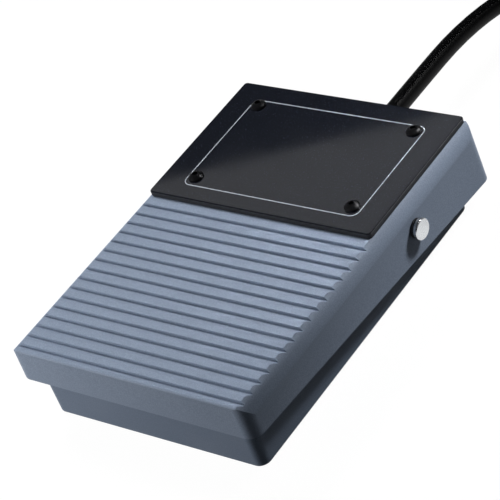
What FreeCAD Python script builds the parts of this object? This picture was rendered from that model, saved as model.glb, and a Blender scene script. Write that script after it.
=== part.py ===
"""Foot pedal switch: a ribbed metal pedal hood that tips on a base tray and presses a small switch.

Frame: millimetres, +Z up, the pedal's front towards -Y, its lead leaving towards +Y.
The origin is on the floor, under the middle of the pedal.
"""

import FreeCAD, Part
import math
import os
import Sketcher

Vector = FreeCAD.Vector
Rotation = FreeCAD.Rotation

doc = FreeCAD.newDocument("foot_pedal_switch")
sheet = doc.addObject("Spreadsheet::Sheet", "Sizes")

SIZES = [
    # the pedal hood
    ("pedal_wide", 66.0, "hood width at its rear hem"),
    ("pedal_long", 93.5, "hood length at its rear hem"),
    ("pedal_top", 20.8, "height of the tread above the floor"),
    ("hem_front", 12.2, "height of the hood's hem at the front"),
    ("hem_rear", 5.1, "height of the hood's hem at the rear"),
    ("pedal_wall", 1.8, "hood side wall"),
    ("pedal_roof", 2.0, "hood roof"),
    ("pedal_corner", 3.0, "upright corner radius of the hood"),
    ("pedal_inner_corner", 1.2, "corner radius inside the hood"),
    ("pedal_edge", 2.2, "width of the rounding on the hood's long top edges"),
    ("pedal_edge_lean", 30.0, "lean of that rounding where it leaves the tread, in degrees"),
    ("pedal_end_edge", 0.6, "rounding of the hood's front and rear top edges"),
    ("pedal_draft", 1.0, "draft of the hood walls in degrees"),
    ("groove_pitch", 3.15, "spacing of the grooves between the ribs"),
    ("groove_count", 16, "number of grooves"),
    ("groove_first", 2.65, "first rib's front edge in front of the nameplate"),
    ("groove_deep", 0.65, "depth of a groove"),
    ("groove_wall", 0.2, "width of a rib's steep front"),
    ("groove_flat", 0.3, "flat width at the bottom of a groove"),
    ("groove_shoulder", 1.5, "width of a rib's rounded back"),
    ("boss_tall", 1.6, "height of the bosses under the roof"),
    ("boss_radius", 2.6, "radius of the bosses under the roof"),
    ("notch_wide", 7.4, "width of the lead's notch in the rear wall"),
    ("notch_over", 1.4, "room over the lead in its notch"),
    # the nameplate and its screws
    ("plate_wide", 61.8, "nameplate width"),
    ("plate_long", 40.5, "nameplate length"),
    ("plate_thick", 1.3, "nameplate thickness"),
    ("plate_behind", 0.5, "hood left bare behind the nameplate"),
    ("plate_corner", 1.0, "corner radius of the nameplate"),
    ("plate_bevel", 0.25, "bevel round the nameplate's face"),
    ("plate_screw_side", 21.9, "nameplate screws from the middle plane"),
    ("plate_screw_front", 7.1, "front screws from the nameplate's front edge"),
    ("plate_screw_rear", 7.3, "rear screws from the nameplate's rear edge"),
    # M2 screws
    ("screw_radius", 1.0, "M2 thread radius"),
    ("thread_fit", 0.02, "gap between a thread and its hole"),
    ("hole_fit", 0.12, "gap between a screw and a clearance hole"),
    ("button_radius", 1.8, "button head radius"),
    ("button_tall", 1.2, "button head height"),
    ("button_rim", 0.35, "upright rim of a button head"),
    ("button_socket", 0.75, "hexagon socket, centre to corner"),
    ("button_socket_deep", 0.7, "hexagon socket depth"),
    ("plate_screw_long", 3.6, "nameplate screw under its head"),
    ("pan_radius", 1.9, "pan head radius"),
    ("pan_tall", 1.2, "pan head height"),
    ("pan_slot", 0.35, "half width of a cross slot"),
    # the hinge
    ("pin_ahead", 28.9, "hinge pin in front of the hood's rear"),
    ("pin_high", 14.1, "height of the hinge pin"),
    ("pin_radius", 1.5, "hinge pin radius"),
    ("pin_head_radius", 2.5, "pin head radius"),
    ("pin_head_thick", 0.9, "pin head thickness"),
    ("pin_head_round", 0.4, "rounding of the pin head"),
    ("hood_hole_fit", 0.1, "gap between the pin and the hood"),
    ("washer_radius", 2.25, "side washer radius"),
    ("washer_thick", 1.0, "side washer thickness"),
    ("washer_gap", 0.08, "gap that the drafted wall leaves beside a washer"),
    ("clip_radius", 2.9, "retaining clip radius"),
    ("clip_thick", 0.5, "retaining clip thickness"),
    ("clip_groove", 0.3, "depth of the clip's groove in the pin"),
    ("clip_mouth", 2.0, "opening of the retaining clip"),
    ("bush_wall", 1.0, "wall of a hinge bush"),
    ("bush_fit", 0.05, "running gap between pin and bush"),
    ("seat_fit", 0.03, "gap between a seated part and its hole"),
    # the base tray
    ("base_side_gap", 1.95, "gap between the tray and the hood's side wall"),
    ("base_front_gap", 0.7, "gap between the tray and the hood's front wall"),
    ("base_rear_gap", 4.55, "gap between the tray and the hood's rear wall"),
    ("base_rim", 13.9, "height of the tray's rim"),
    ("base_wall", 2.0, "tray wall"),
    ("base_floor", 2.0, "tray floor"),
    ("base_corner", 2.4, "upright corner radius of the tray"),
    ("base_hollow_corner", 1.5, "inner corner radius of the tray"),
    ("ear_thick", 4.0, "thickness of a hinge ear"),
    ("ear_half", 5.0, "half length of a hinge ear"),
    ("ear_over", 3.8, "hinge ear above the pin's centre"),
    ("foot_radius", 5.0, "rubber foot radius"),
    ("foot_out", 0.8, "rubber foot below the tray"),
    ("foot_seat", 0.6, "depth of a foot's seat in the tray"),
    ("foot_side", 20.0, "feet from the middle plane"),
    ("foot_front", 10.25, "front feet from the tray's front"),
    ("foot_back", 11.4, "rear feet from the tray's rear"),
    # the stops
    ("press_drop", 3.5, "full press of the pedal in degrees"),
    ("stop_gap", 0.3, "air between a stop and the roof at the end of travel"),
    ("bumper_radius", 2.8, "rubber bumper radius"),
    ("bumper_thick", 1.2, "rubber bumper thickness"),
    ("post_radius", 3.0, "radius of a bumper's post"),
    ("stop_side", 20.0, "posts from the middle plane"),
    ("press_stop_front", 8.25, "press stops from the tray's front"),
    ("rest_stop_back", 9.4, "rest stops from the tray's rear"),
    # the return spring
    ("spring_front", 14.25, "return spring from the tray's front"),
    ("spring_radius", 3.6, "mean radius of the spring's turns"),
    ("spring_wire", 0.4, "spring wire radius"),
    ("spring_turns", 7, "turns of the spring"),
    ("spring_seat_gap", 0.1, "gap between the spring and its seats"),
    ("spigot_radius", 2.5, "spigot inside the spring"),
    ("spigot_tall", 2.5, "height of the spigot on the tray floor"),
    # the circuit board
    ("board_wide", 32.0, "circuit board width"),
    ("board_front_gap", 7.0, "circuit board's front edge behind the return spring"),
    ("board_back", 28.4, "circuit board's rear edge from the tray's rear"),
    ("board_thick", 1.2, "circuit board thickness"),
    ("board_lift", 3.0, "circuit board above the tray floor"),
    ("board_screw_in", 2.5, "board screws from the board's edges"),
    ("board_screw_long", 3.4, "board screw under its head"),
    ("standoff_radius", 2.4, "radius of a board standoff"),
    ("chip_wide", 7.0, "controller chip width"),
    ("chip_tall", 1.2, "controller chip height"),
    ("chip_side", 9.5, "chip and crystal from the middle plane"),
    ("chip_ahead", 0.5, "chip and crystal ahead of the board's middle"),
    ("crystal_wide", 4.2, "crystal can width"),
    ("crystal_long", 9.6, "crystal can length"),
    ("crystal_tall", 3.2, "crystal can height"),
    ("header_wide", 10.0, "board header width"),
    ("header_deep", 4.0, "board header depth"),
    ("header_tall", 3.6, "board header height"),
    ("header_back", 1.0, "board header from the board's rear edge"),
    ("header_plug_wide", 8.0, "wire plug width"),
    ("header_plug_deep", 4.0, "wire plug depth"),
    ("header_plug_half", 1.1, "half height of the wire plug"),
    ("wire_radius", 0.45, "radius of one wire"),
    ("wire_pitch", 1.15, "spacing of the wires"),
    ("wire_count", 4, "wires in the lead"),
    # the microswitch
    ("switch_wide", 5.8, "microswitch width"),
    ("switch_long", 12.8, "microswitch length"),
    ("switch_tall", 6.5, "microswitch height"),
    ("switch_front", 5.0, "microswitch from the board's front edge"),
    ("lever_back", 12.0, "lever axle from the microswitch's front end"),
    ("lever_over", 1.0, "lever axle above the microswitch"),
    ("lever_tilt", 6.0, "lever's tilt at rest in degrees"),
    ("lever_long", 13.5, "lever from its axle to its tip"),
    ("lever_wide", 3.6, "lever width"),
    ("lever_thick", 0.3, "lever thickness"),
    ("axle_radius", 0.4, "lever axle radius"),
    ("axle_fit", 0.05, "running gap between the lever and its axle"),
    ("knuckle_wall", 0.3, "wall of the lever's rolled knuckle"),
    ("cheek_thick", 0.6, "thickness of a cheek that holds the axle"),
    ("cheek_gap", 0.2, "gap between the lever and a cheek"),
    ("cheek_half", 0.9, "half length of a cheek"),
    ("plunger_arm", 4.4, "plunger from the lever's axle"),
    ("plunger_radius", 0.9, "plunger radius"),
    ("plunger_fit", 0.12, "gap round the plunger"),
    ("plunger_root", 1.5, "plunger inside the microswitch"),
    ("plunger_bore_deep", 2.6, "depth of the plunger's bore"),
    ("plunger_gap", 0.15, "gap between plunger and lever at rest"),
    ("terminal_wide", 0.6, "terminal thickness"),
    ("terminal_long", 1.0, "terminal width"),
    ("terminal_below", 1.0, "terminal under the circuit board"),
    ("terminal_pitch", 4.8, "spacing of the terminals"),
    ("terminal_fit", 0.1, "gap round a terminal in the board"),
    ("actuator_arm", 12.2, "actuator screw from the lever's axle"),
    ("actuator_radius", 1.5, "actuator screw radius"),
    ("actuator_long", 3.0, "actuator screw length"),
    ("actuator_gap", 0.2, "gap between actuator screw and lever at rest"),
    ("actuator_socket", 0.8, "actuator screw socket, centre to corner"),
    ("actuator_socket_deep", 1.2, "actuator screw socket depth"),
    ("actuator_over", 0.2, "air over the actuator screw in its boss"),
    # the lead inside and at its exit
    ("cord_radius", 2.3, "lead radius"),
    ("cord_high", 8.65, "height of the lead where it leaves"),
    ("cord_fit", 0.03, "gap round the lead in its grommet and clamp"),
    ("lead_inside", 19.4, "inner end of the lead's jacket from the tray's rear"),
    ("grommet_neck", 3.4, "radius of the grommet in the tray wall"),
    ("grommet_flange", 4.4, "radius of the grommet's flanges"),
    ("grommet_flange_thick", 1.1, "thickness of a grommet flange"),
    ("grommet_sleeve", 2.9, "length of the grommet's sleeve"),
    ("grommet_tip", 2.85, "radius of the sleeve's tip"),
    ("clamp_back", 12.4, "middle of the cable clamp from the tray's rear"),
    ("clamp_long", 6.0, "length of the cable clamp along the lead"),
    ("clamp_half", 10.4, "half width of the cable clamp"),
    ("clamp_hump_half", 4.0, "half width of the clamp's hump"),
    ("clamp_flange", 1.6, "thickness of the clamp's flanges"),
    ("clamp_over", 1.2, "clamp over the lead"),
    ("clamp_drop", 0.45, "clamp's underside below the lead's axis"),
    ("clamp_screw_side", 8.0, "clamp screws from the middle plane"),
    ("clamp_screw_long", 5.0, "clamp screw under its head"),
    ("cradle_half", 1.6, "half width of the rib under the lead"),
    # the coil that the spare lead is put away in
    ("coil_layers", 4, "layers of the coil"),
    ("coil_layer_turns", 2.4375, "turns in one layer"),
    ("coil_gap", 0.6, "air between neighbouring turns"),
    ("coil_mean", 26.4, "mean radius of the coil's turns"),
    ("coil_side", -20.0, "coil centre beside the middle plane"),
    ("coil_back", 149.0, "coil centre behind the origin"),
    ("floor_gap", 0.05, "air between the lead and the floor"),
    # the plug
    ("plug_wide", 15.4, "plug grip width"),
    ("plug_long", 20.0, "plug grip length"),
    ("plug_thick", 7.6, "plug grip thickness"),
    ("plug_round", 1.6, "rounding of the plug grip"),
    ("relief_long", 9.0, "plug strain relief length"),
    ("relief_root", 3.5, "strain relief radius at the grip"),
    ("relief_tip", 2.9, "strain relief radius at the lead"),
    ("relief_cuts", 3, "grooves round the strain relief"),
    ("relief_cut_wide", 0.9, "width of a strain relief groove"),
    ("shell_wide", 12.0, "plug shell width"),
    ("shell_tall", 4.5, "plug shell height"),
    ("shell_long", 12.0, "plug shell length outside the grip"),
    ("shell_wall", 0.3, "plug shell wall"),
    ("shell_window", 2.2, "square window in the plug shell"),
    ("shell_window_in", 5.2, "window from the grip"),
    ("shell_window_side", 2.4, "window from the plug's middle"),
    ("tongue_tall", 1.8, "insulator height"),
    ("tongue_short", 0.8, "insulator end inside the shell's mouth"),
    ("tongue_fit", 0.05, "gap between insulator and shell"),
    ("contact_wide", 1.0, "contact width"),
    ("contact_thick", 0.15, "contact thickness"),
    ("contact_pitch", 2.25, "spacing of the contacts"),
]

for row, (alias, value, note) in enumerate(SIZES, start=1):
    sheet.set(f"A{row}", note)
    sheet.set(f"B{row}", str(value))
    sheet.setAlias(f"B{row}", alias)
doc.recompute()


def size(alias):
    """The plain number that the sheet holds under an alias."""
    return float(sheet.get(alias))


def s(text):
    """An expression with every alias in it written as a cell of the sheet."""
    for alias in sorted(ALIASES, key=len, reverse=True):
        text = text.replace("{" + alias + "}", "Sizes." + alias)
    return text


ALIASES = [alias for alias, _, _ in SIZES]

# Lines that several pieces share, as expressions of the sheet's sizes.
FLOOR_TOP = "({foot_out} + {base_floor})"
ROOF_UNDER = "({pedal_top} - {pedal_roof})"
PIN_Y = "({pedal_long} / 2 - {pin_ahead})"
BASE_SIDE = "({pedal_wide} / 2 - {pedal_wall} - {base_side_gap})"
BASE_FRONT = "(-{pedal_long} / 2 + {pedal_wall} + {base_front_gap})"
BASE_REAR = "({pedal_long} / 2 - {pedal_wall} - {base_rear_gap})"
PRESS_STOP_Y = f"({BASE_FRONT} + {{press_stop_front}})"
REST_STOP_Y = f"({BASE_REAR} - {{rest_stop_back}})"
SPRING_Y = f"({BASE_FRONT} + {{spring_front}})"
CLAMP_Y = f"({BASE_REAR} - {{clamp_back}})"
LEAD_IN_Y = f"({BASE_REAR} - {{lead_inside}})"
BOARD_REAR = f"({BASE_REAR} - {{board_back}})"
BOARD_FRONT = f"({SPRING_Y} + {{spring_radius}} + {{spring_wire}} + {{board_front_gap}})"
BOARD_LONG = f"({BOARD_REAR} - {BOARD_FRONT})"
CHIP_Y = f"(({BOARD_FRONT} + {BOARD_REAR}) / 2 - {{chip_ahead}})"
HEADER_REAR = f"({BOARD_REAR} - {{header_back}})"
SWITCH_Y = f"({BOARD_FRONT} + {{switch_front}})"
LEVER_Y = f"({SWITCH_Y} + {{lever_back}})"
PLATE_REAR = "({pedal_long} / 2 - {plate_behind})"
PLATE_FRONT = "({pedal_long} / 2 - {plate_behind} - {plate_long})"
HOOD_SIDE = "({pedal_wide} / 2 - ({pin_high} - {hem_rear}) * tan({pedal_draft}))"
WASHER_IN = f"({HOOD_SIDE} + {{washer_gap}})"
WASHER_OUT = f"({WASHER_IN} + {{washer_thick}} + {{seat_fit}})"
BOARD_UNDER = f"({FLOOR_TOP} + {{board_lift}})"
BOARD_TOP = f"({BOARD_UNDER} + {{board_thick}})"
SWITCH_TOP = f"({BOARD_TOP} + {{switch_tall}})"
LEVER_Z = f"({SWITCH_TOP} + {{lever_over}})"
LEVER_UNDER_PLUNGER = (
    f"({LEVER_Z} + {{plunger_arm}} * sin({{lever_tilt}}) - {{lever_thick}} / 2)"
)
ACTUATOR_Y = f"({LEVER_Y} - {{actuator_arm}})"
ACTUATOR_TIP = (
    f"({LEVER_Z} + {{actuator_arm}} * sin({{lever_tilt}}) + {{lever_thick}} / 2"
    " + {actuator_gap})"
)
ACTUATOR_BORE_TOP = f"({ACTUATOR_TIP} + {{actuator_long}} + {{actuator_over}})"
PRESS_POST_TOP = (
    f"({ROOF_UNDER} - ({PIN_Y} - {PRESS_STOP_Y}) * sin({{press_drop}})"
    " - {stop_gap} - {bumper_thick})"
)
REST_POST_TOP = f"({ROOF_UNDER} - {{stop_gap}} - {{bumper_thick}})"
SLEEVE_END = f"({BASE_REAR} + {{grommet_flange_thick}} + {{grommet_sleeve}})"
CLAMP_UNDER = "({cord_high} - {clamp_drop})"

SPARE_CELL = "D1"
nodes = []


def worth(text):
    """The number that an expression of the sheet's sizes comes to, worked out in a spare cell."""
    sheet.set(SPARE_CELL, "=" + text.replace("{", "").replace("}", ""))
    doc.recompute()
    value = float(sheet.get(SPARE_CELL))
    sheet.clear(SPARE_CELL)
    return value


def node(obj, name):
    """Name a finished sub-part and keep it for the export."""
    obj.Label = name
    nodes.append(obj)
    return obj


# Helpers for primitives and booleans


def place(obj, x, y, z, turn=None):
    """Put an object at a place given as three expressions, turned by a fixed rotation."""
    obj.Placement = FreeCAD.Placement(Vector(0, 0, 0), turn or Rotation())
    for axis, text in (("x", x), ("y", y), ("z", z)):
        obj.setExpression(f"Placement.Base.{axis}", s(text))
    return obj


def primitive(kind, at, turn=None, **sizes):
    """A Part primitive whose sizes and place are expressions."""
    obj = doc.addObject("Part::" + kind, kind)
    for name, text in sizes.items():
        obj.setExpression(name, s(text))
    return place(obj, *at, turn=turn)


ALONG_X = Rotation(Vector(0, 1, 0), 90)
ALONG_Y = Rotation(Vector(1, 0, 0), -90)


def box(at, wide, deep, tall):
    """A box from its least corner."""
    return primitive("Box", at, Length=wide, Width=deep, Height=tall)


def block(middle, y, z, wide, deep, tall):
    """A box centred on an X, from its front at y and its underside at z."""
    return box((f"{middle} - ({wide}) / 2", y, z), wide, deep, tall)


def rod(at, radius, tall, turn=None):
    """A cylinder that starts at a point and runs along +Z, or along +X or +Y when turned."""
    return primitive("Cylinder", at, turn=turn, Radius=radius, Height=tall)


def hexagon(at, corner, tall):
    """A hexagonal prism along +Z."""
    obj = primitive("Prism", at, Circumradius=corner, Height=tall)
    obj.Polygon = 6
    return obj


def fuse(*shapes):
    """Several solids made into one."""
    obj = doc.addObject("Part::MultiFuse", "Fuse")
    obj.Shapes = list(shapes)
    return obj


def cut(base, *tools):
    """A solid with one or more tools taken out of it."""
    obj = doc.addObject("Part::Cut", "Cut")
    obj.Base = base
    obj.Tool = tools[0] if len(tools) == 1 else fuse(*tools)
    return obj


def group(*shapes):
    """Separate solids that share one node."""
    obj = doc.addObject("Part::Compound", "Group")
    obj.Links = list(shapes)
    return obj


def rounded(base, radius, picks):
    """A fillet of one radius on the edges that picks says yes to."""
    doc.recompute()
    obj = doc.addObject("Part::Fillet", "Rounded")
    obj.Base = base
    obj.Edges = [
        (i, size(radius), size(radius))
        for i, edge in enumerate(base.Shape.Edges, start=1)
        if picks(edge)
    ]
    return obj


def upright(edge):
    """Whether an edge is a straight one that stands up, or leans a little."""
    run = edge.Vertexes[-1].Point - edge.Vertexes[0].Point
    return abs(run.z) > 0.9 * edge.Length


# Helpers for bodies built from sketches


def origin_plane(body, role):
    """One of a body's own origin planes."""
    return next(f for f in body.Origin.OriginFeatures if f.Role == role)


def new_sketch(body, name, role, offset):
    """An empty sketch on a plane of the body, moved along the plane's normal."""
    sketch = body.newObject("Sketcher::SketchObject", name)
    sketch.AttachmentSupport = [(origin_plane(body, role), "")]
    sketch.MapMode = "FlatFace"
    sketch.setExpression("AttachmentOffset.Base.z", s(offset))
    return sketch


def pin_point(sketch, curve, end, x, y, guess):
    """Hold one point of a sketch at a place given as two expressions."""
    for kind, text, value in (("DistanceX", x, guess[0]), ("DistanceY", y, guess[1])):
        k = sketch.addConstraint(Sketcher.Constraint(kind, -1, 1, curve, end, value))
        sketch.setExpression(f"Constraints[{k}]", s(text))


def outline(body, name, role, offset, points):
    """A closed sketch of straight lines through points given as pairs of expressions."""
    sketch = new_sketch(body, name, role, offset)
    count = len(points)
    turns = [2 * math.pi * i / count for i in range(count)]
    ring = [(10 * math.cos(a), 10 * math.sin(a)) for a in turns]
    for i in range(count):
        (x, y), (u, v) = ring[i], ring[(i + 1) % count]
        sketch.addGeometry(Part.LineSegment(Vector(x, y, 0), Vector(u, v, 0)))
    for i in range(count):
        after = (i + 1) % count
        sketch.addConstraint(Sketcher.Constraint("Coincident", i, 2, after, 1))
    for i, (x, y) in enumerate(points):
        pin_point(sketch, i, 1, x, y, ring[i])
    return sketch


def oblong(body, name, offset, x, y_front, y_rear):
    """A rectangle on the ground plane, as wide as twice x."""
    corners = [
        (f"-({x})", y_front),
        (x, y_front),
        (x, y_rear),
        (f"-({x})", y_rear),
    ]
    return outline(body, name, "XY_Plane", offset, corners)


def circles(body, name, role, offset, spots):
    """A sketch of circles, each given as two centre expressions and a radius."""
    sketch = new_sketch(body, name, role, offset)
    for i, (x, y, radius) in enumerate(spots):
        middle = Vector(20.0 * i, 5, 0)
        sketch.addGeometry(Part.Circle(middle, Vector(0, 0, 1), 1.0))
        pin_point(sketch, i, 3, x, y, (middle.x, middle.y))
        k = sketch.addConstraint(Sketcher.Constraint("Radius", i, 1.0))
        sketch.setExpression(f"Constraints[{k}]", s(radius))
    return sketch


def feature(body, kind, sketch, long=None, taper=None, reverse=False, middle=False):
    """A pad or pocket of a sketch; the solid's volume has to follow it."""
    doc.recompute()
    before = body.Shape.Volume if body.Tip else 0.0
    obj = body.newObject("PartDesign::" + kind, kind)
    obj.Profile = sketch
    obj.Reversed = reverse
    obj.Midplane = middle
    obj.setExpression("Length", s(long))
    if taper:
        obj.setExpression("TaperAngle", s(taper))
    doc.recompute()
    change = body.Shape.Volume - before
    if change * (1 if kind == "Pad" else -1) < 1e-3:
        raise RuntimeError(f"{body.Label}: {sketch.Label} changed the volume by {change}")
    return obj


def dress(body, kind, picks, radius, prop="Radius"):
    """A fillet or chamfer on the edges of the body that picks says yes to."""
    doc.recompute()
    tip = body.Tip
    names = [f"Edge{i}" for i, e in enumerate(tip.Shape.Edges, start=1) if picks(e)]
    obj = body.newObject("PartDesign::" + kind, kind)
    obj.Base = (tip, names)
    obj.setExpression(prop, s(radius))
    doc.recompute()
    return obj


def new_body(name):
    """A body for one sub-part."""
    return node(doc.addObject("PartDesign::Body", name), name)


# The pedal hood


def rounding_sketch(body, name, role, sign, half, wide, lean="0"):
    """What a rounding takes off one top edge of the hood: an arc that leans by some degrees
    where it leaves the tread and runs out upright on the wall. With no lean it is a quarter round.
    """
    sketch = new_sketch(body, name, role, "0")
    low = f"({{pedal_top}} - {wide} * cos({lean}) / (1 - sin({lean})))"
    above = "({pedal_top} + 1)"
    wall = f"({half} - ({low} - {{hem_rear}}) * tan({{pedal_draft}}))"
    corners = [
        (f"{sign}({wall} - {wide})", "{pedal_top}"),
        (f"{sign}({wall} - {wide})", above),
        (f"{sign}({wall} + 1)", above),
        (f"{sign}({wall} + 1)", low),
        (f"{sign}{wall}", low),
    ]
    way = -1 if sign else 1
    guess = [(0, 2), (0, 3), (3 * way, 3), (3 * way, 0), (2 * way, 0)]
    points = [Vector(x, y, 0) for x, y in guess]
    for a, b in zip(points, points[1:], strict=False):
        sketch.addGeometry(Part.LineSegment(a, b))
    first, last = (points[0], points[4]) if sign else (points[4], points[0])
    bow = Vector(2 * way * math.cos(math.pi / 4), 2 * math.sin(math.pi / 4), 0)
    sketch.addGeometry(Part.Arc(first, bow, last))
    joints = [(i, 2, i + 1, 1) for i in range(3)]
    joints += [(0, 1, 4, 1), (3, 2, 4, 2)] if sign else [(3, 2, 4, 1), (0, 1, 4, 2)]
    for a, end_a, b, end_b in joints:
        sketch.addConstraint(Sketcher.Constraint("Coincident", a, end_a, b, end_b))
    for i, ((x, y), place_guess) in enumerate(zip(corners[:4], guess, strict=False)):
        pin_point(sketch, i, 1, x, y, place_guess)
    pin_point(sketch, 3, 2, *corners[4], guess[4])
    sketch.addConstraint(Sketcher.Constraint("Horizontal", 4, 3, 3, 2))
    return sketch


def groove_sketch(body):
    """The first groove: under a rib's steep front, a flat, then the next rib's rounded back."""
    sketch = new_sketch(body, "groove", "YZ_Plane", "0")
    rib_edge = f"({PLATE_FRONT} - {{groove_first}})"
    flat_rear = f"({rib_edge} - {{groove_wall}})"
    flat_front = f"({flat_rear} - {{groove_flat}})"
    next_rib = f"({flat_front} - {{groove_shoulder}})"
    low = "({pedal_top} - {groove_deep})"
    above = "({pedal_top} + 1)"
    corners = [
        (next_rib, above),
        (next_rib, "{pedal_top}"),
        (flat_front, low),
        (flat_rear, low),
        (rib_edge, "{pedal_top}"),
        (rib_edge, above),
    ]
    guess = [(-2, 3), (-2, 2), (-1, 1), (1, 1), (2, 2), (2, 3)]
    points = [Vector(x, y, 0) for x, y in guess]
    bow = Vector(0.15, 0.15, 0)
    sketch.addGeometry(Part.LineSegment(points[0], points[1]))
    sketch.addGeometry(Part.Arc(points[2], (points[1] + points[2]) / 2 + bow, points[1]))
    for a, b in zip(points[2:], points[3:] + points[:1], strict=True):
        sketch.addGeometry(Part.LineSegment(a, b))
    joints = [(0, 2, 1, 2), (1, 1, 2, 1), (2, 2, 3, 1), (3, 2, 4, 1), (4, 2, 5, 1), (5, 2, 0, 1)]
    for a, end_a, b, end_b in joints:
        sketch.addConstraint(Sketcher.Constraint("Coincident", a, end_a, b, end_b))
    held = [(0, 1), (0, 2), (2, 1), (3, 1), (4, 1), (5, 1)]
    for (curve, end), (x, y), place_guess in zip(held, corners, guess, strict=True):
        pin_point(sketch, curve, end, x, y, place_guess)
    sketch.addConstraint(Sketcher.Constraint("Vertical", 1, 3, 0, 2))
    return sketch


def pedal_cover():
    """The cast hood: a drafted shell with a sloping hem, a grooved tread and its bosses."""
    body = new_body("pedal_cover")
    half_wide = "{pedal_wide} / 2"
    half_long = "{pedal_long} / 2"
    foot = oblong(body, "foot", "{hem_rear}", half_wide, f"-{half_long}", half_long)
    feature(body, "Pad", foot, "{pedal_top} - {hem_rear}", taper="-{pedal_draft}")
    dress(body, "Fillet", upright, "{pedal_corner}")
    lean = "{pedal_edge_lean}"
    for sign in ("", "-"):
        side = rounding_sketch(
            body, "side_rounding", "XZ_Plane", sign, half_wide, "{pedal_edge}", lean
        )
        feature(body, "Pocket", side, "{pedal_long} + 2", middle=True)
        end = rounding_sketch(body, "end_rounding", "YZ_Plane", sign, half_long, "{pedal_end_edge}")
        feature(body, "Pocket", end, "{pedal_wide} + 2", middle=True)
    hollow = oblong(
        body,
        "hollow",
        "{hem_rear}",
        f"{half_wide} - {{pedal_wall}}",
        f"-{half_long} + {{pedal_wall}}",
        f"{half_long} - {{pedal_wall}}",
    )
    depth = "{pedal_top} - {pedal_roof} - {hem_rear}"
    feature(body, "Pocket", hollow, depth, taper="-{pedal_draft}", reverse=True)
    reach = size("pedal_wide") / 2 - size("pedal_wall") + 0.01
    stretch = size("pedal_long") / 2 - size("pedal_wall") + 0.01

    def inner_corner(edge):
        middle = edge.CenterOfMass
        inside = abs(middle.x) < reach and abs(middle.y) < stretch
        in_corner = abs(middle.x) > reach - 1 and abs(middle.y) > stretch - 1
        return upright(edge) and inside and in_corner

    dress(body, "Fillet", inner_corner, "{pedal_inner_corner}")

    # bosses under the roof, sunk into it by half its thickness
    plate_screws = [
        (f"{side}{{plate_screw_side}}", along)
        for side in ("", "-")
        for along in (
            f"{PLATE_FRONT} + {{plate_screw_front}}",
            f"{PLATE_REAR} - {{plate_screw_rear}}",
        )
    ]
    boss_root = f"({ROOF_UNDER} + {{pedal_roof}} / 2)"
    bosses = [(x, y, "{boss_radius}") for x, y in plate_screws]
    bosses.append(("0", SPRING_Y, "{spigot_radius}"))
    sketch = circles(body, "bosses", "XY_Plane", boss_root, bosses)
    feature(body, "Pad", sketch, "{boss_tall} + {pedal_roof} / 2", reverse=True)
    spot = [("0", ACTUATOR_Y, "{boss_radius}")]
    sketch = circles(body, "actuator_boss", "XY_Plane", boss_root, spot)
    drop = f"{boss_root} - {ACTUATOR_TIP} - {{actuator_long}} / 3"
    feature(body, "Pad", sketch, drop, reverse=True)
    spot = [("0", ACTUATOR_Y, "{actuator_radius} + {thread_fit}")]
    sketch = circles(body, "actuator_bore", "XY_Plane", ACTUATOR_BORE_TOP, spot)
    feature(body, "Pocket", sketch, "{actuator_long}")

    # the sloping hem: everything below a line from the front hem to the rear hem
    hem = [
        (f"-{half_long} - 1", "{hem_rear} - 1"),
        (f"{half_long}", "{hem_rear} - 1"),
        (f"{half_long}", "{hem_rear}"),
        (f"-{half_long}", "{hem_front}"),
        (f"-{half_long} - 1", "{hem_front}"),
    ]
    sketch = outline(body, "hem", "YZ_Plane", "0", hem)
    feature(body, "Pocket", sketch, "{pedal_wide} + 2", middle=True)

    # holes: the hinge pin through both walls, and the nameplate's threads
    sketch = circles(
        body,
        "pin_holes",
        "YZ_Plane",
        "0",
        [(PIN_Y, "{pin_high}", "{pin_radius} + {hood_hole_fit}")],
    )
    feature(body, "Pocket", sketch, "{pedal_wide} + 2", middle=True)
    threads = [(x, y, "{screw_radius} + {thread_fit}") for x, y in plate_screws]
    sketch = circles(body, "threads", "XY_Plane", "{pedal_top}", threads)
    feature(body, "Pocket", sketch, "{pedal_roof} + {boss_tall}")

    # the notch that clears the lead in the rear wall
    half_notch = "{notch_wide} / 2"
    corners = [
        (f"-{half_notch}", "{hem_rear} - 1"),
        (half_notch, "{hem_rear} - 1"),
        (half_notch, "{cord_high}"),
        (f"-{half_notch}", "{cord_high}"),
    ]
    rear = f"-{half_long} - 1"
    depth = "{pedal_wall} + 2"
    slot = outline(body, "notch", "XZ_Plane", rear, corners)
    feature(body, "Pocket", slot, depth, reverse=True)
    arch = [("0", "{cord_high} + {cord_radius} + {notch_over} - {notch_wide} / 2", half_notch)]
    arch = circles(body, "notch_arch", "XZ_Plane", rear, arch)
    feature(body, "Pocket", arch, depth, reverse=True)

    # the grooves across the tread
    sketch = groove_sketch(body)
    first = feature(body, "Pocket", sketch, "{pedal_wide} + 2", middle=True)
    pattern = body.newObject("PartDesign::LinearPattern", "grooves")
    pattern.Originals = [first]
    pattern.Direction = (sketch, ["H_Axis"])
    pattern.Reversed = True
    pattern.setExpression("Length", s("{groove_pitch} * ({groove_count} - 1)"))
    pattern.setExpression("Occurrences", s("{groove_count}"))
    body.Tip = pattern
    doc.recompute()


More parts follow.
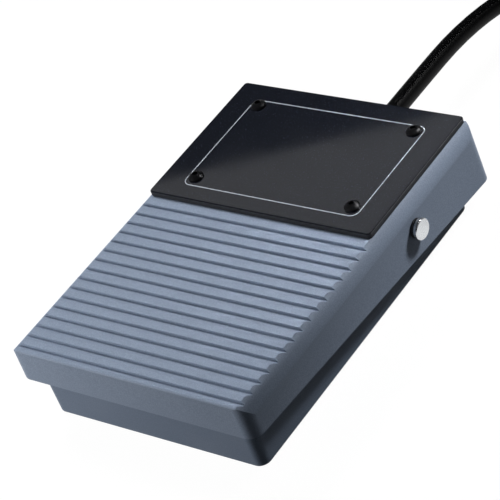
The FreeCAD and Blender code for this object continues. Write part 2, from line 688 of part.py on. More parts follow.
def nameplate():
    """The plate screwed on the rear of the hood."""
    body = new_body("nameplate")
    sheet_outline = oblong(
        body, "edge", "{pedal_top}", "{plate_wide} / 2", PLATE_FRONT, PLATE_REAR
    )
    feature(body, "Pad", sheet_outline, "{plate_thick}")
    dress(body, "Fillet", upright, "{plate_corner}")
    top = size("pedal_top") + size("plate_thick")
    face = lambda edge: min(v.Z for v in edge.Vertexes) > top - 0.01
    dress(body, "Chamfer", face, "{plate_bevel}", prop="Size")
    holes = [
        (f"{side}{{plate_screw_side}}", along, "{screw_radius} + {hole_fit}")
        for side in ("", "-")
        for along in (
            f"{PLATE_FRONT} + {{plate_screw_front}}",
            f"{PLATE_REAR} - {{plate_screw_rear}}",
        )
    ]
    lid = "{pedal_top} + {plate_thick}"
    feature(body, "Pocket", circles(body, "holes", "XY_Plane", lid, holes), "{plate_thick}")


def button_screw(x, y, z, long):
    """A button head screw with a hexagon socket, its head standing on z."""
    dome = f"(({{button_radius}}^2 + ({{button_tall}} - {{button_rim}})^2)"
    dome += " / (2 * ({button_tall} - {button_rim})))"
    ball = primitive("Sphere", (x, y, f"{z} + {{button_tall}} - {dome}"), Radius=dome)
    head = doc.addObject("Part::Common", "Head")
    head.Base = rod((x, y, z), "{button_radius}", "{button_tall}")
    head.Tool = ball
    shank = rod((x, y, f"{z} - {long}"), "{screw_radius}", f"{long} + {{button_rim}}")
    deep = "{button_socket_deep}"
    socket = hexagon((x, y, f"{z} + {{button_tall}} - {deep}"), "{button_socket}", deep)
    return cut(fuse(head, shank), socket)


def pan_screw(x, y, z, long):
    """A flat pan head screw with a cross slot, its head standing on z."""
    head = rod((x, y, z), "{pan_radius}", "{pan_tall}")
    shank = rod((x, y, f"{z} - {long}"), "{screw_radius}", f"{long} + {{pan_tall}} / 2")
    low = f"{z} + {{pan_tall}} / 2"
    wide, thin, deep = "2.4 * {screw_radius}", "2 * {pan_slot}", "{pan_tall}"
    slot = block(x, f"{y} - {{pan_slot}}", low, wide, thin, deep)
    across = block(x, f"{y} - 1.2 * {{screw_radius}}", low, thin, wide, deep)
    return cut(fuse(head, shank), slot, across)


def nameplate_screws():
    """The four button head screws in the nameplate's corners."""
    rows = (
        ("front", f"{PLATE_FRONT} + {{plate_screw_front}}"),
        ("rear", f"{PLATE_REAR} - {{plate_screw_rear}}"),
    )
    for side, x in (("right", "{plate_screw_side}"), ("left", "-{plate_screw_side}")):
        for row, y in rows:
            screw = button_screw(x, y, "({pedal_top} + {plate_thick})", "{plate_screw_long}")
            node(screw, f"nameplate_screw_{row}_{side}")


# The hinge


def hinge_pin():
    """The headed shaft across the pedal, with a groove for its clip at the left end."""
    body = new_body("hinge_pin")
    neck = "({pin_radius} - {clip_groove})"
    groove_in = f"-{WASHER_OUT} + {{seat_fit}} / 2"
    groove_out = f"-{WASHER_OUT} - {{clip_thick}} - {{seat_fit}}"
    head = f"({WASHER_OUT} + {{pin_head_thick}})"
    end = f"-{head}"
    profile = [
        (end, "0"),
        (end, "{pin_radius}"),
        (groove_out, "{pin_radius}"),
        (groove_out, neck),
        (groove_in, neck),
        (groove_in, "{pin_radius}"),
        (WASHER_OUT, "{pin_radius}"),
        (WASHER_OUT, "{pin_head_radius}"),
        (head, "{pin_head_radius}"),
        (head, "0"),
    ]
    sketch = outline(body, "profile", "XZ_Plane", "0", profile)
    turned = body.newObject("PartDesign::Revolution", "turned")
    turned.Profile = sketch
    turned.ReferenceAxis = (sketch, ["H_Axis"])
    turned.Angle = 360
    doc.recompute()
    out = max(v.X for v in turned.Shape.Vertexes)
    rim = lambda edge: edge.Length > 3 and all(v.X > out - 0.01 for v in edge.Vertexes)
    dress(body, "Fillet", rim, "{pin_head_round}")
    place(body, "0", PIN_Y, "{pin_high}")


def ring(x, outer, inner, thick):
    """A ring round the hinge line, from x towards +X."""
    rim = rod((x, PIN_Y, "{pin_high}"), outer, thick, ALONG_X)
    bore = rod((f"{x} - 1", PIN_Y, "{pin_high}"), inner, f"{thick} + 2", ALONG_X)
    return cut(rim, bore)


def hinge_fittings():
    """The side washers, the retaining clip and the bushes in the tray's ears."""
    inner = "{pin_radius} + {bush_fit}"
    left_washer = f"-{WASHER_IN} - {{washer_thick}}"
    node(ring(WASHER_IN, "{washer_radius}", inner, "{washer_thick}"), "pin_washer_right")
    node(ring(left_washer, "{washer_radius}", inner, "{washer_thick}"), "pin_washer_left")

    clip_x = f"-{WASHER_OUT} - {{clip_thick}}"
    neck = "{pin_radius} - {clip_groove} + {seat_fit}"
    clip = ring(clip_x, "{clip_radius}", neck, "{clip_thick}")
    low = "{pin_high} - {clip_radius} - 1"
    mouth = box(
        (f"{clip_x} - 1", f"{PIN_Y} - {{clip_mouth}} / 2", low),
        "{clip_thick} + 2",
        "{clip_mouth}",
        "{clip_radius} + 1",
    )
    node(cut(clip, mouth), "pin_clip")

    outer = "{pin_radius} + {bush_fit} + {bush_wall}"
    right_ear = f"{BASE_SIDE} - {{ear_thick}}"
    node(ring(right_ear, outer, inner, "{ear_thick}"), "hinge_bush_right")
    node(ring(f"-{BASE_SIDE}", outer, inner, "{ear_thick}"), "hinge_bush_left")


# The base tray

FEET = [
    ("front_right", "{foot_side}", f"{BASE_FRONT} + {{foot_front}}"),
    ("front_left", "-{foot_side}", f"{BASE_FRONT} + {{foot_front}}"),
    ("rear_right", "{foot_side}", f"{BASE_REAR} - {{foot_back}}"),
    ("rear_left", "-{foot_side}", f"{BASE_REAR} - {{foot_back}}"),
]
BOARD_SCREWS = [
    (f"{side}({{board_wide}} / 2 - {{board_screw_in}})", along)
    for side in ("", "-")
    for along in (f"{BOARD_FRONT} + {{board_screw_in}}", f"{BOARD_REAR} - {{board_screw_in}}")
]


def base_tray():
    """The cast tray under the hood, with its ears, posts, standoffs and cable cradle."""
    body = new_body("base_tray")
    half = BASE_SIDE
    foot = oblong(body, "foot", "{foot_out}", half, BASE_FRONT, BASE_REAR)
    feature(body, "Pad", foot, "{base_rim} - {foot_out}")
    dress(body, "Fillet", upright, "{base_corner}")
    hollow = oblong(
        body,
        "hollow",
        "{base_rim}",
        f"{half} - {{base_wall}}",
        f"{BASE_FRONT} + {{base_wall}}",
        f"{BASE_REAR} - {{base_wall}}",
    )
    feature(body, "Pocket", hollow, f"{{base_rim}} - {FLOOR_TOP}")
    hollow_box = body.Tip.Profile[0].Shape.BoundBox

    def inner_corner(edge):
        middle = edge.CenterOfMass
        at_side = abs(abs(middle.x) - hollow_box.XMax) < 0.01
        at_end = min(abs(middle.y - hollow_box.YMin), abs(middle.y - hollow_box.YMax)) < 0.01
        return upright(edge) and at_side and at_end

    dress(body, "Fillet", inner_corner, "{base_hollow_corner}")

    # hinge ears against the side walls
    root = f"({FLOOR_TOP} - {{base_floor}} / 2)"
    for sign in ("", "-"):
        inner, outer = f"{sign}({half} - {{ear_thick}})", f"{sign}({half})"
        corners = [
            (inner, f"{PIN_Y} - {{ear_half}}"),
            (outer, f"{PIN_Y} - {{ear_half}}"),
            (outer, f"{PIN_Y} + {{ear_half}}"),
            (inner, f"{PIN_Y} + {{ear_half}}"),
        ]
        ear = outline(body, "ear", "XY_Plane", root, corners)
        feature(body, "Pad", ear, f"{{pin_high}} + {{ear_over}} - {root}")
    bush = [(PIN_Y, "{pin_high}", "{pin_radius} + {bush_fit} + {bush_wall} + {seat_fit}")]
    sketch = circles(body, "bush_seats", "YZ_Plane", "0", bush)
    feature(body, "Pocket", sketch, f"2 * {BASE_SIDE} + 2", middle=True)

    # posts for the bumpers, standoffs, spigot and clamp bosses, all from inside the floor
    both = ("{stop_side}", "-{stop_side}")
    screws = ("{clamp_screw_side}", "-{clamp_screw_side}")
    uprights = (
        ("press_posts", [(x, PRESS_STOP_Y, "{post_radius}") for x in both], PRESS_POST_TOP),
        ("rest_posts", [(x, REST_STOP_Y, "{post_radius}") for x in both], REST_POST_TOP),
        ("standoffs", [(x, y, "{standoff_radius}") for x, y in BOARD_SCREWS], BOARD_UNDER),
        (
            "spigot",
            [("0", SPRING_Y, "{spigot_radius}")],
            f"({FLOOR_TOP} + {{spigot_tall}})",
        ),
        ("clamp_bosses", [(x, CLAMP_Y, "{standoff_radius}") for x in screws], CLAMP_UNDER),
    )
    for name, spots, tall in uprights:
        sketch = circles(body, name, "XY_Plane", root, spots)
        feature(body, "Pad", sketch, f"{tall} - {root}")
    cradle = oblong(
        body,
        "cradle",
        root,
        "{cradle_half}",
        f"{CLAMP_Y} - {{clamp_long}} / 2",
        f"{CLAMP_Y} + {{clamp_long}} / 2",
    )
    feature(body, "Pad", cradle, f"{{cord_high}} - {{cord_radius}} - {{cord_fit}} - {root}")

    # threads, the grommet's hole and the feet's seats
    thread = "{screw_radius} + {thread_fit}"
    spots = [(x, y, thread) for x, y in BOARD_SCREWS]
    sketch = circles(body, "board_threads", "XY_Plane", BOARD_UNDER, spots)
    feature(body, "Pocket", sketch, "{board_screw_long} - {board_thick} + {hole_fit}")
    spots = [(x, CLAMP_Y, thread) for x in screws]
    sketch = circles(body, "clamp_threads", "XY_Plane", CLAMP_UNDER, spots)
    feature(body, "Pocket", sketch, "{clamp_screw_long} - {clamp_flange} + {hole_fit}")
    spots = [("0", "{cord_high}", "{grommet_neck} + {seat_fit}")]
    sketch = circles(body, "grommet_hole", "XZ_Plane", f"-{BASE_REAR} - 1", spots)
    feature(body, "Pocket", sketch, "{base_wall} + 2", reverse=True)
    spots = [(x, y, "{foot_radius} + {seat_fit}") for _, x, y in FEET]
    sketch = circles(body, "foot_seats", "XY_Plane", "{foot_out}", spots)
    feature(body, "Pocket", sketch, "{foot_seat}", reverse=True)


def feet_and_bumpers():
    """The rubber feet in their seats and the rubber bumpers on their posts."""
    for name, x, y in FEET:
        node(rod((x, y, "0"), "{foot_radius}", "{foot_out} + {foot_seat}"), f"foot_{name}")
    stops = (
        ("press", PRESS_STOP_Y, PRESS_POST_TOP),
        ("rest", REST_STOP_Y, REST_POST_TOP),
    )
    for kind, y, z in stops:
        for side, x in (("right", "{stop_side}"), ("left", "-{stop_side}")):
            pad = rod((x, y, z), "{bumper_radius}", "{bumper_thick}")
            node(pad, f"{kind}_bumper_{side}")


# The circuit board and what sits on it


def circuit_board():
    """The board with its screw holes and the slots for the microswitch's terminals."""
    blank = block(
        "0", BOARD_FRONT, BOARD_UNDER, "{board_wide}", BOARD_LONG, "{board_thick}"
    )
    tools = [
        rod((x, y, BOARD_UNDER), "{screw_radius} + {hole_fit}", "{board_thick}")
        for x, y in BOARD_SCREWS
    ]
    wide = "{terminal_wide} + 2 * {terminal_fit}"
    long = "{terminal_long} + 2 * {terminal_fit}"
    for y in TERMINALS:
        front = f"{y} - ({long}) / 2"
        tools.append(block("0", front, BOARD_UNDER, wide, long, "{board_thick}"))
    node(cut(blank, *tools), "circuit_board")
    screws = [pan_screw(x, y, BOARD_TOP, "{board_screw_long}") for x, y in BOARD_SCREWS]
    node(group(*screws), "board_screws")


SWITCH_MIDDLE = f"({SWITCH_Y} + {{switch_long}} / 2)"
TERMINALS = [f"({SWITCH_MIDDLE} + {k} * {{terminal_pitch}})" for k in (-1, 0, 1)]


def board_parts():
    """The controller, its crystal, the wire header, its plug and the wires."""
    chip = block(
        "-{chip_side}",
        f"{CHIP_Y} - {{chip_wide}} / 2",
        BOARD_TOP,
        "{chip_wide}",
        "{chip_wide}",
        "{chip_tall}",
    )
    node(chip, "controller_chip")
    can = block(
        "{chip_side}",
        f"{CHIP_Y} - {{crystal_long}} / 2",
        BOARD_TOP,
        "{crystal_wide}",
        "{crystal_long}",
        "{crystal_tall}",
    )
    node(rounded(can, "wire_pitch", upright), "crystal_can")
    header_front = f"{HEADER_REAR} - {{header_deep}}"
    header = block(
        "0", header_front, BOARD_TOP, "{header_wide}", "{header_deep}", "{header_tall}"
    )
    node(header, "board_header")
    plug = block(
        "0",
        HEADER_REAR,
        "{cord_high} - {header_plug_half}",
        "{header_plug_wide}",
        "{header_plug_deep}",
        "2 * {header_plug_half}",
    )
    node(plug, "header_plug")
    start = f"({HEADER_REAR} + {{header_plug_deep}})"
    count = int(size("wire_count"))
    wires = [
        rod(
            (f"{k - (count - 1) / 2} * {{wire_pitch}}", start, "{cord_high}"),
            "{wire_radius}",
            f"{LEAD_IN_Y} - {start}",
            ALONG_Y,
        )
        for k in range(count)
    ]
    node(group(*wires), "lead_wires")


# The microswitch


def microswitch():
    """The microswitch on the board: housing, terminals, plunger, and lever on its axle."""
    case = block(
        "0", SWITCH_Y, BOARD_TOP, "{switch_wide}", "{switch_long}", "{switch_tall}"
    )
    cheek_in = "({lever_wide} / 2 + {cheek_gap})"
    half_span = f"({cheek_in} + {{cheek_thick}})"
    root = f"({SWITCH_TOP} - {{switch_tall}} / 2)"
    cheeks = [
        block(
            f"{sign} * ({cheek_in} + {{cheek_thick}} / 2)",
            f"{LEVER_Y} - {{cheek_half}}",
            root,
            "{cheek_thick}",
            "2 * {cheek_half}",
            f"{LEVER_Z} + {{cheek_half}} - {root}",
        )
        for sign in (-1, 1)
    ]
    axle_at = (f"-{half_span}", LEVER_Y, LEVER_Z)
    holes = rod(axle_at, "{axle_radius} + {seat_fit}", f"2 * {half_span}", ALONG_X)
    y = f"{LEVER_Y} - {{plunger_arm}}"
    low = f"{SWITCH_TOP} - {{plunger_bore_deep}}"
    bore = rod(("0", y, low), "{plunger_radius} + {plunger_fit}", "{plunger_bore_deep}")
    node(cut(fuse(case, *cheeks), holes, bore), "switch_body")
    axle = rod(axle_at, "{axle_radius}", f"2 * {half_span}", ALONG_X)
    node(axle, "lever_axle")

    foot = f"{SWITCH_TOP} - {{plunger_root}}"
    tall = f"{LEVER_UNDER_PLUNGER} - {{plunger_gap}} - ({foot})"
    node(rod(("0", y, foot), "{plunger_radius}", tall), "switch_plunger")

    low = f"{BOARD_UNDER} - {{terminal_below}}"
    legs = [
        block(
            "0",
            f"{y_leg} - {{terminal_long}} / 2",
            low,
            "{terminal_wide}",
            "{terminal_long}",
            "{terminal_below} + {board_thick}",
        )
        for y_leg in TERMINALS
    ]
    node(group(*legs), "switch_terminals")


def switch_lever():
    """The sprung strip that the actuator screw presses, rolled round its axle at one end."""
    body = new_body("switch_lever")
    bore = "({axle_radius} + {axle_fit})"
    knuckle = [(LEVER_Y, LEVER_Z, f"{bore} + {{knuckle_wall}}")]
    sketch = circles(body, "knuckle", "YZ_Plane", "0", knuckle)
    feature(body, "Pad", sketch, "{lever_wide}", middle=True)
    ends = (("{axle_radius}", -1), ("{axle_radius}", 1), ("{lever_long}", 1), ("{lever_long}", -1))
    corners = []
    for along, up in ends:
        rise = f"{up} * {{lever_thick}} / 2"
        y = f"{LEVER_Y} - {along} * cos({{lever_tilt}}) + {rise} * sin({{lever_tilt}})"
        z = f"{LEVER_Z} + {along} * sin({{lever_tilt}}) + {rise} * cos({{lever_tilt}})"
        corners.append((y, z))
    sketch = outline(body, "strip", "YZ_Plane", "0", corners)
    feature(body, "Pad", sketch, "{lever_wide}", middle=True)
    sketch = circles(body, "bore", "YZ_Plane", "0", [(LEVER_Y, LEVER_Z, bore)])
    feature(body, "Pocket", sketch, "{lever_wide} + 2", middle=True)


def actuator_screw():
    """The set screw in the hood's boss that presses the lever."""
    barrel = rod(("0", ACTUATOR_Y, ACTUATOR_TIP), "{actuator_radius}", "{actuator_long}")
    deep = "{actuator_socket_deep}"
    socket = hexagon(("0", ACTUATOR_Y, ACTUATOR_TIP), "{actuator_socket}", deep)
    node(cut(barrel, socket), "actuator_screw")


# The lead where it is held


def lead_fittings():
    """The grommet in the tray wall, the clamp with its screws and the lead's inner end."""
    neck_in = f"{BASE_REAR} - {{base_wall}}"
    axis = ("0", "{cord_high}")
    flange = "{grommet_flange_thick}"

    def along(y, radius, long):
        return rod((axis[0], y, axis[1]), radius, long, ALONG_Y)

    sleeve = primitive(
        "Cone",
        ("0", f"{BASE_REAR} + {flange}", "{cord_high}"),
        turn=ALONG_Y,
        Radius1="{grommet_neck}",
        Radius2="{grommet_tip}",
        Height="{grommet_sleeve}",
    )
    grommet = fuse(
        along(f"{neck_in} - {flange}", "{grommet_flange}", flange),
        along(f"{neck_in} - {flange} / 2", "{grommet_neck}", f"{{base_wall}} + {flange}"),
        along(BASE_REAR, "{grommet_flange}", flange),
        sleeve,
    )
    bore_long = f"{SLEEVE_END} - ({neck_in}) + {flange} + 2"
    bore = along(f"{neck_in} - {flange} - 1", "{cord_radius} + {cord_fit}", bore_long)
    node(cut(grommet, bore), "lead_grommet")

    inner = along(LEAD_IN_Y, "{cord_radius}", f"{SLEEVE_END} - {LEAD_IN_Y}")
    node(inner, "lead_inner_end")

    front = f"{CLAMP_Y} - {{clamp_long}} / 2"
    flanges = block("0", front, CLAMP_UNDER, "2 * {clamp_half}", "{clamp_long}", "{clamp_flange}")
    hump = block(
        "0",
        front,
        CLAMP_UNDER,
        "2 * {clamp_hump_half}",
        "{clamp_long}",
        "{clamp_drop} + {cord_radius} + {clamp_over}",
    )
    lead = along(f"{front} - 1", "{cord_radius} + {cord_fit}", "{clamp_long} + 2")
    low = f"{CLAMP_UNDER} - 1"
    hole = "{screw_radius} + {hole_fit}"
    sides = ("{clamp_screw_side}", "-{clamp_screw_side}")
    holes = [rod((x, CLAMP_Y, low), hole, "{clamp_flange} + 2") for x in sides]
    node(cut(fuse(flanges, hump), lead, *holes), "lead_clamp")
    top = f"({CLAMP_UNDER} + {{clamp_flange}})"
    screws = [pan_screw(x, CLAMP_Y, top, "{clamp_screw_long}") for x in sides]
    node(group(*screws), "clamp_screws")


# Tubes along routes of straight runs and tangent arcs


def corner_arc(before, corner, after):
    """The arc from before to after that is tangent to both lines through the corner."""
    reach = (before - corner).Length
    middle = (before + after) / 2
    inward = middle - corner
    half_chord = (before - after).Length / 2
    if inward.Length < 1e-9 * reach:
        return Part.LineSegment(before, after).toShape(), math.inf
    radius = reach * half_chord / inward.Length
    to_bow = reach * reach / inward.Length - radius
    bow = corner + inward.normalize() * to_bow
    return Part.Arc(before, bow, after).toShape(), radius


def biarc(start, heading, end, heading_end):
    """Two arcs that join two points and leave both along their headings."""
    across = end - start
    both = across.dot(heading + heading_end)
    spread = 2 * (1 - heading.dot(heading_end))
    reach = (math.sqrt(both * both + spread * across.dot(across)) - both) / spread
    first, second = start + heading * reach, end - heading_end * reach
    middle = (first + second) / 2
    return [corner_arc(start, first, middle)[0], corner_arc(middle, second, end)[0]]


def rounded_route(points):
    """Edges along a route whose corners are arcs, with the arcs' radii."""
    edges, radii, last = [], [], points[0]
    for before, corner, after in zip(points, points[1:], points[2:], strict=False):
        reach = 0.45 * min((corner - before).Length, (after - corner).Length)
        into = corner + (before - corner).normalize() * reach
        out = corner + (after - corner).normalize() * reach
        edges.append(Part.LineSegment(last, into).toShape())
        arc, radius = corner_arc(into, corner, out)
        edges.append(arc)
        radii.append(radius)
        last = out
    edges.append(Part.LineSegment(last, points[-1]).toShape())
    return edges, radii


def tube(name, edges, radius):
    """A round tube along edges that follow one another, compared with section times length."""
    wire = Part.Wire(edges)
    start, heading = edges[0].Vertexes[0].Point, edges[0].tangentAt(edges[0].FirstParameter)
    shell = Part.BRepOffsetAPI.MakePipeShell(wire)
    shell.add(Part.Wire(Part.Circle(start, heading, radius).toShape()))
    shell.build()
    shell.makeSolid()
    solid = shell.shape()
    ideal = math.pi * radius**2 * wire.Length
    print(f"{name}: {wire.Length:.1f} mm long, volume {solid.Volume / ideal:.5f} of ideal")
    obj = doc.addObject("Part::Feature", name)
    obj.Shape = solid
    obj.Placement = FreeCAD.Placement()
    node(obj, name)
    return wire


def winding(place_at, turns, steps=4):
    """Biarcs along a curve given by turns, each a step of a quarter turn or less."""
    count = math.ceil(turns * steps)
    marks = [turns * i / count for i in range(count + 1)]

    def heading(t):
        low, high = max(t - 1e-4, 0), min(t + 1e-4, turns)
        return (place_at(high) - place_at(low)).normalize()

    edges = []
    for a, b in zip(marks, marks[1:], strict=False):
        edges += biarc(place_at(a), heading(a), place_at(b), heading(b))
    return edges, heading(0), heading(turns)


def least_gap(edges, diameter, skip):
    """The least air between parts of one tube that are more than skip apart along it."""
    points = []
    for edge in edges:
        count = max(2, math.ceil(edge.Length / (diameter / 3)))
        points += edge.discretize(count)[:-1]
    spacing = sum(e.Length for e in edges) / len(points)
    away = math.ceil(skip / spacing)
    least = math.inf
    for i, p in enumerate(points):
        for q in points[i + away :]:
            if abs(p.x - q.x) < 2 * diameter and abs(p.y - q.y) < 2 * diameter:
                least = min(least, (p - q).Length)
    return least - diameter


def return_spring():
    """The compression spring between the tray's spigot and the hood's roof."""
    turns = size("spring_turns")
    wire = size("spring_wire")
    low = size("foot_out") + size("base_floor") + wire + size("spring_seat_gap")
    high = size("pedal_top") - size("pedal_roof") - wire - size("spring_seat_gap")
    middle = Vector(0, worth(SPRING_Y), 0)

    def place_at(t):
        angle = 2 * math.pi * t
        out = Vector(math.cos(angle), math.sin(angle), 0) * size("spring_radius")
        return middle + out + Vector(0, 0, low + (high - low) * t / turns)

    edges, _, _ = winding(place_at, turns)
    tube("return_spring", edges, wire)


# The lead outside: a straight way out, a gentle fall to the floor, then the coil

LEAD_OUT = [(0.0, 66.0, 8.65), (0.3, 92.0, 8.5), (5.0, 114.0, 5.6)]
LEAD_LAST_RUN = 15.5
TAIL_FIRST_RUN = 14.0
TAIL_RUN = [(11.0, 121.0, 14.0), (21.0, 131.5, 8.6), (24.5, 145.5, 4.6)]
TAIL_END = (24.5, 159.0)


def coil_place(turns):
    """A point of the coil's centreline: it spirals in and out and climbs where it turns back."""
    layer_turns = size("coil_layer_turns")
    step = 2 * size("cord_radius") + size("coil_gap")
    outer = size("coil_mean") + step * layer_turns / 2
    layer = min(int(turns / layer_turns), int(size("coil_layers")) - 1)
    into = turns - layer * layer_turns
    inward = into if layer % 2 == 0 else layer_turns - into
    rise = layer
    near = round(turns / layer_turns)
    if 0 < near < size("coil_layers"):
        share = min(max((turns - near * layer_turns) / 0.5 + 0.5, 0), 1)
        if abs(turns - near * layer_turns) < 0.25:
            rise = near - 1 + share * share * (3 - 2 * share)
    angle = 2 * math.pi * turns
    out = Vector(math.cos(angle), math.sin(angle), 0) * (outer - step * inward)
    floor = size("cord_radius") + size("floor_gap")
    middle = Vector(size("coil_side"), size("coil_back"), floor)
    return middle + out + Vector(0, 0, step * rise)


def lead():
    """The lead's three stretches and its coil; returns where the plug begins."""
    radius = size("cord_radius")
    turns = size("coil_layers") * size("coil_layer_turns")
    edges, heading_in, heading_out = winding(coil_place, turns)
    start = coil_place(0) - heading_in * 2 * radius
    end = coil_place(turns) + heading_out * 2 * radius
    whole = [Part.LineSegment(start, coil_place(0)).toShape()]
    whole += edges
    whole.append(Part.LineSegment(coil_place(turns), end).toShape())

    out = worth(SLEEVE_END)
    points = [Vector(0, out, size("cord_high"))]
    points += [Vector(*p) for p in LEAD_OUT]
    points += [start - heading_in * LEAD_LAST_RUN, start]
    run, radii = rounded_route(points)
    total = tube("lead_run", run, radius).Length
    print("lead run radii:", [round(r, 1) for r in radii])

    total += tube("lead_coil", whole, radius).Length
    print(f"coil's least gap to itself: {least_gap(whole, 2 * radius, 6 * radius):.2f} mm")

    plug_high = size("plug_thick") / 2 + size("floor_gap")
    points = [end, end + heading_out * TAIL_FIRST_RUN]
    points += [Vector(*p) for p in TAIL_RUN]
    points.append(Vector(TAIL_END[0], TAIL_END[1], plug_high))
    points.append(points[-1] + Vector(0, 11.0, 0))
    run, radii = rounded_route(points)
    total += tube("lead_tail", run, radius).Length
    print("lead tail radii:", [round(r, 1) for r in radii])
    print(f"lead outside the pedal: {total:.0f} mm")
    return points[-1]


# The plug


def plug(at):
    """The plug at the end of the lead, pointing along +Y from the end of the lead."""
    x, y, z = str(at.x), str(at.y), str(at.z)
    relief_cone = primitive(
        "Cone",
        (x, y, z),
        turn=ALONG_Y,
        Radius1="{relief_tip}",
        Radius2="{relief_root}",
        Height="{relief_long}",
    )
    cuts = []
    for k in range(int(size("relief_cuts"))):
        start = f"{y} + {{relief_long}} * {k + 1} / ({{relief_cuts}} + 1)"
        start += " - {relief_cut_wide} / 2"
        rim = rod((x, start, z), "{relief_root} + 1", "{relief_cut_wide}", ALONG_Y)
        core = rod((x, start, z), "{cord_radius} + 0.2", "{relief_cut_wide}", ALONG_Y)
        cuts.append(cut(rim, core))
    node(cut(relief_cone, *cuts), "plug_relief")

    grip_y = f"{y} + {{relief_long}}"
    grip = block(x, grip_y, f"{z} - {{plug_thick}} / 2", "{plug_wide}", "{plug_long}", "{plug_thick}")

    def long_way(edge):
        run = edge.Vertexes[-1].Point - edge.Vertexes[0].Point
        return abs(run.y) > 0.9 * run.Length

    node(rounded(grip, "plug_round", long_way), "plug_grip")

    mouth = f"{grip_y} + {{plug_long}}"
    wall = "{shell_wall}"
    outside = block(x, mouth, f"{z} - {{shell_tall}} / 2", "{shell_wide}", "{shell_long}", "{shell_tall}")
    inside = block(
        x,
        mouth,
        f"{z} - {{shell_tall}} / 2 + {wall}",
        f"{{shell_wide}} - 2 * {wall}",
        "{shell_long} + 1",
        f"{{shell_tall}} - 2 * {wall}",
    )
    windows = [
        block(
            f"({x} + {sign} * {{shell_window_side}})",
            f"{mouth} + {{shell_window_in}}",
            z,
            "{shell_window}",
            "{shell_window}",
            "{shell_tall}",
        )
        for sign in (-1, 1)
    ]
    node(cut(outside, inside, *windows), "plug_shell")

    fit = "{tongue_fit}"
    low = f"{z} - {{shell_tall}} / 2 + {wall} + {fit}"
    tongue_long = "{shell_long} - {tongue_short}"
    tongue = block(
        x, mouth, low, f"{{shell_wide}} - 2 * ({wall} + {fit})", tongue_long, "{tongue_tall}"
    )
    node(tongue, "plug_tongue")
    top = f"{low} + {{tongue_tall}}"
    strips = [
        block(
            f"({x} + {k} * {{contact_pitch}})",
            f"{mouth} + {{tongue_short}}",
            top,
            "{contact_wide}",
            f"{tongue_long} - 2 * {{tongue_short}}",
            "{contact_thick}",
        )
        for k in (-1.5, -0.5, 0.5, 1.5)
    ]
    node(group(*strips), "plug_contacts")


def check_and_write():
    """Stop on any failed object or bad shape, then write one file for each sub-part."""
    doc.recompute()
    for obj in doc.Objects:
        if "Invalid" in obj.State or "Error" in obj.State:
            raise RuntimeError(f"{obj.Label} failed: {obj.State}")
    for obj in nodes:
        if obj.Shape.isNull() or not obj.Shape.isValid() or not obj.Shape.Solids:
            raise RuntimeError(f"{obj.Label} has no valid solid")
    os.makedirs("parts", exist_ok=True)
    for obj in nodes:
        obj.Shape.exportStep(f"parts/{obj.Label}.step")
    print(len(nodes), "sub-parts written")


pedal_cover()
nameplate()
nameplate_screws()
hinge_pin()
hinge_fittings()
base_tray()
feet_and_bumpers()
circuit_board()
board_parts()
microswitch()
switch_lever()
actuator_screw()
lead_fittings()
return_spring()
plug(lead())
check_and_write()
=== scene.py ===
"""Dress and stage for a foot pedal switch: finishes, return spring, border line and lead.

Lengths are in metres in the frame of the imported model: +Z up, the pedal's front towards -Y,
the lead leaving towards +Y. Small ones are written in millimetres, times MM.
"""

import math

import bpy
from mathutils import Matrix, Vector


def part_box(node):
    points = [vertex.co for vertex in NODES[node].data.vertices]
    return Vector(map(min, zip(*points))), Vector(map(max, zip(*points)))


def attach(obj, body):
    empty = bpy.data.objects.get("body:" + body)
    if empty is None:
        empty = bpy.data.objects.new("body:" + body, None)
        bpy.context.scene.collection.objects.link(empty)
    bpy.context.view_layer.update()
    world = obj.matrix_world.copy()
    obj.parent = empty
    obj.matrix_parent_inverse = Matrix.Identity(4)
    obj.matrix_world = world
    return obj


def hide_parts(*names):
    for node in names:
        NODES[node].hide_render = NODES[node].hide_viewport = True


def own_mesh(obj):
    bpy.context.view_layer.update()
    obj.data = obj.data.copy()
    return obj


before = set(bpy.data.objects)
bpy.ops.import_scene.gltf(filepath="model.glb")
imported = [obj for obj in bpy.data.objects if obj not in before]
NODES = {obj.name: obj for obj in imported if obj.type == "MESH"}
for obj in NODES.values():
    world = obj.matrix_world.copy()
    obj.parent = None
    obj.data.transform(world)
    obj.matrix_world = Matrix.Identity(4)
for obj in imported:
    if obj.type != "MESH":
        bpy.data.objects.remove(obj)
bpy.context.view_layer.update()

bl_info = {
    "name": "Foot Pedal Switch",
    "version": (1, 0, 0),
    "blender": (4, 5, 0),
    "location": "View3D > Sidebar > Pedal",
    "description": "Finishes, return spring, border line, lead and studio for a foot pedal switch",
    "category": "Object",
}

MM = 0.001


# Sizes and colours that a user would change


def length_mm(name, description, default):
    """A length for the sidebar, given in millimetres and kept in metres."""
    return bpy.props.FloatProperty(
        name=name, description=description, default=default * MM, min=0.0, unit="LENGTH"
    )


def paint_colour(name, description, default):
    """A colour for the sidebar, in linear values."""
    return bpy.props.FloatVectorProperty(
        name=name, description=description, default=default, subtype="COLOR", min=0.0, max=1.0
    )


def lamp_watts(name, description, default):
    """A lamp's power for the sidebar."""
    return bpy.props.FloatProperty(
        name=name, description=description, default=default, min=0.0, unit="POWER"
    )


class PedalBorder(bpy.types.PropertyGroup):
    """The printed line round the nameplate's face."""

    inset_front: length_mm("Front inset", "Line from the plate's front edge", 4.2)
    inset_rear: length_mm("Rear inset", "Line from the plate's rear edge", 5.35)
    half_width: length_mm("Half width", "Line from its own middle", 24.35)
    shift: length_mm("Shift", "Print to the right of the middle plane", 0.25)
    corner: length_mm("Corner", "Corner radius of the line", 2.0)
    thickness: length_mm("Thickness", "Width of the line", 0.24)
    rise: length_mm("Rise", "Print above the plate's face", 0.03)


